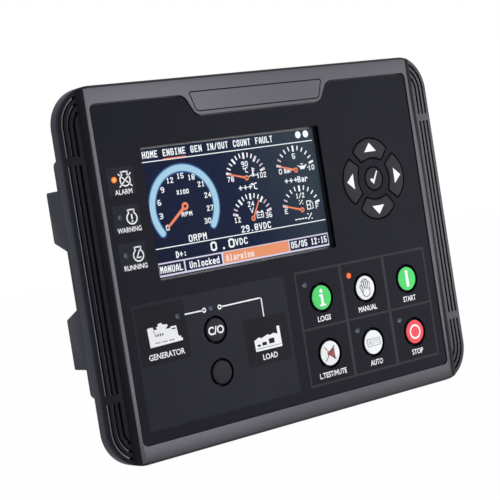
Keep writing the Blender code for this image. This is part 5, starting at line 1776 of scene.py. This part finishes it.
# %% [markdown]
# ## Screws with Geometry Nodes
# The six housing screws are one shape set on six points, and so are the clamp screws of the
# terminals. One tree turns a mesh template into copies on the vertices of a mesh of places.

# %% A tree that copies a template to places


def copy_tree():
    """Sets a template object on each vertex of the mesh that the modifier is on."""
    kinds = {"Geometry": "Geometry", "Template": "Object", "Material": "Material"}
    tree, given = new_group("copies_on_places", kinds)
    info = add_node(tree, "GeometryNodeObjectInfo", {"Object": given["Template"]})
    paint_copies(tree, given, {"Points": given["Geometry"], "Instance": info.outputs["Geometry"]})
    return tree


COPIES = copy_tree()


def copy_to(name, template, places, mat):
    """Copies of a template about the origin, on a list of points, as one plain mesh object."""
    holder = run_tree(name, COPIES, mat, places, Template=template)
    bpy.data.objects.remove(template, do_unlink=True)
    holder.data.shade_smooth()
    holder.data.set_sharp_from_angle(angle=math.radians(35))
    return holder


# %% Housing screws
HEAD_RADIUS, HEAD_HEIGHT = 2.9 * MM, 1.8 * MM
SHANK_RADIUS, SCREW_LENGTH = 1.4 * MM, 10.0 * MM


def screw_template(name, head_radius, head_height, shank_radius, length, recess):
    """A pan-head screw whose seat is at the origin and whose head looks along +Y, with a cross recess."""
    rings = [(circle(shank_radius, sides=28), -length), (circle(shank_radius, sides=28), 0.0),
             (circle(head_radius, sides=28), 0.0)]
    for step in range(5):
        turn = math.radians(90 * step / 5)
        radius = head_radius * (0.45 + 0.55 * math.cos(turn))
        rings.append((circle(radius, sides=28), head_height * (0.4 + 0.6 * math.sin(turn))))
    piece = solid_object(name, [rings])
    arm, slot_width = recess, recess * 0.28
    for across in (0, 1):
        box = (-arm, -slot_width, arm, slot_width) if across else (-slot_width, -arm, slot_width, arm)
        carve(piece, [prism(box_outline(*box), head_height * 0.45, head_height * 2)])
    return piece


seats = []
for name in SCREWS:
    spot = middle_of(name)
    seats.append((spot[0], LEDGE_Y + GAP, spot[1]))
template = screw_template("screw_template", HEAD_RADIUS, HEAD_HEIGHT, SHANK_RADIUS, SCREW_LENGTH, 1.7 * MM)
housing_screws = copy_to("housing_screw_set", template, seats, BRIGHT_STEEL)
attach(housing_screws, CASE)
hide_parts(*SCREWS)
print(len(seats), "housing screws")

# %% [markdown]
# ## Terminals
# Each plug-in terminal has a row of wire entries along its outer side and a row of clamp screws in
# its back. The blocks are stacks with small chamfers, cut by loops, and the clamp screws come from
# the same tree as the housing screws.

# %% Headers and plugs
WAYS = 8
PITCH = 5.08 * MM
HEADER_WALL = 1.0 * MM
PLUG_CHAMFER = 0.5 * MM
WIRE_HALF, WIRE_FRONT, WIRE_BACK, WIRE_DEPTH = 1.5 * MM, 2 * MM, 5 * MM, 6 * MM
WELL_RADIUS, WELL_DEPTH, CLAMP_DEPTH = 1.7 * MM, 2.5 * MM, 2.4 * MM
RIB_HALF, RIB_DEPTH = 0.2 * MM, 0.4 * MM
clamp_seats = []


def build_terminal(name):
    """One plug: a chamfered block with a nose, wire entries, clamp wells and ribs between the ways."""
    low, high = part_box("terminal_" + name)
    header_low, header_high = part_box("header_" + name)
    side = 1 if middle_of("header_" + name)[1] > 0 else -1
    shell_front = header_high.y + GAP
    outline = box_outline(low.x, low.z, high.x, high.z)
    inset = grown(outline, -PLUG_CHAMFER)
    rings = [(outline, shell_front), (outline, high.y - PLUG_CHAMFER), (inset, high.y)]
    piece = solid_object("plug_" + name, [rings])
    nose = grown(box_outline(header_low.x, header_low.z, header_high.x, header_high.z), -HEADER_WALL - GAP)
    carve(piece, [prism(nose, low.y, shell_front + GAP)], "UNION")
    middle_x = (low.x + high.x) / 2
    outer_z = high.z if side > 0 else low.z
    wires, wells, ribs = [], [], []
    for way in range(WAYS):
        x = middle_x + (way - (WAYS - 1) / 2) * PITCH
        deep_z, past_z = outer_z - side * WIRE_DEPTH, outer_z + side * MM
        wires.append(block((x - WIRE_HALF, shell_front + WIRE_FRONT, min(deep_z, past_z)),
                           (x + WIRE_HALF, shell_front + WIRE_BACK, max(deep_z, past_z))))
        spot = (x, (low.z + high.z) / 2)
        wells.append(prism(circle(WELL_RADIUS, spot, 28), high.y - WELL_DEPTH, high.y + MM))
        clamp_seats.append((spot[0], high.y - CLAMP_DEPTH, spot[1]))
        if way:
            ribs.append(block((x - PITCH / 2 - RIB_HALF, shell_front + MM, outer_z - RIB_DEPTH),
                              (x - PITCH / 2 + RIB_HALF, high.y + MM, outer_z + RIB_DEPTH)))
    carve(piece, wires)
    carve(piece, wells)
    carve(piece, ribs)
    dress(piece, PLUG_GREEN, stands_for=("terminal_" + name,))


for name in HEADERS:
    build_terminal(name)
    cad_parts["header_" + name].data.materials[0] = HEADER_GREEN
clamp = screw_template("clamp_template", 1.5 * MM, 0.9 * MM, 1.3 * MM, 0.05 * MM, 1.2 * MM)
clamp_set = copy_to("clamp_screw_set", clamp, clamp_seats, BRIGHT_STEEL)
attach(clamp_set, CASE)
print(len(clamp_seats), "clamp screws")

# %% The service socket's tongue
low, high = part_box("service_socket")
socket_x, socket_z = middle_of("service_socket")
tongue = solid_object("socket_tongue", [block((socket_x - 2.8 * MM, high.y - 9.0 * MM, socket_z - 1.5 * MM),
                                              (socket_x + 2.8 * MM, high.y - 0.8 * MM, socket_z + 1.5 * MM))])
dress(tongue, PART_BLACK)
print("socket tongue", round((high.y - low.y) / MM, 1), "mm deep shell")

# %% [markdown]
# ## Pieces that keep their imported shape
# Boards, spacers, relays and the rest already have the right shape, so they only get finishes.

# %% Finishes of the inner pieces
INNER = {
    "key_board": BOARD_MASK,
    "main_board": BOARD_MASK,
    "board_link": PART_BLACK,
    "sounder": PART_BLACK,
    "clock_cell": BRIGHT_STEEL,
    "service_socket": BRIGHT_STEEL,
    "display_module": PART_BLACK,
}
for i in range(1, 5):
    INNER[f"board_spacer_{i}"] = BRASS
for i in range(1, 4):
    INNER[f"relay_{i}"] = RELAY_BLUE
for node, mat in INNER.items():
    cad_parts[node].data.materials[0] = mat
print(len(INNER), "inner pieces finished")
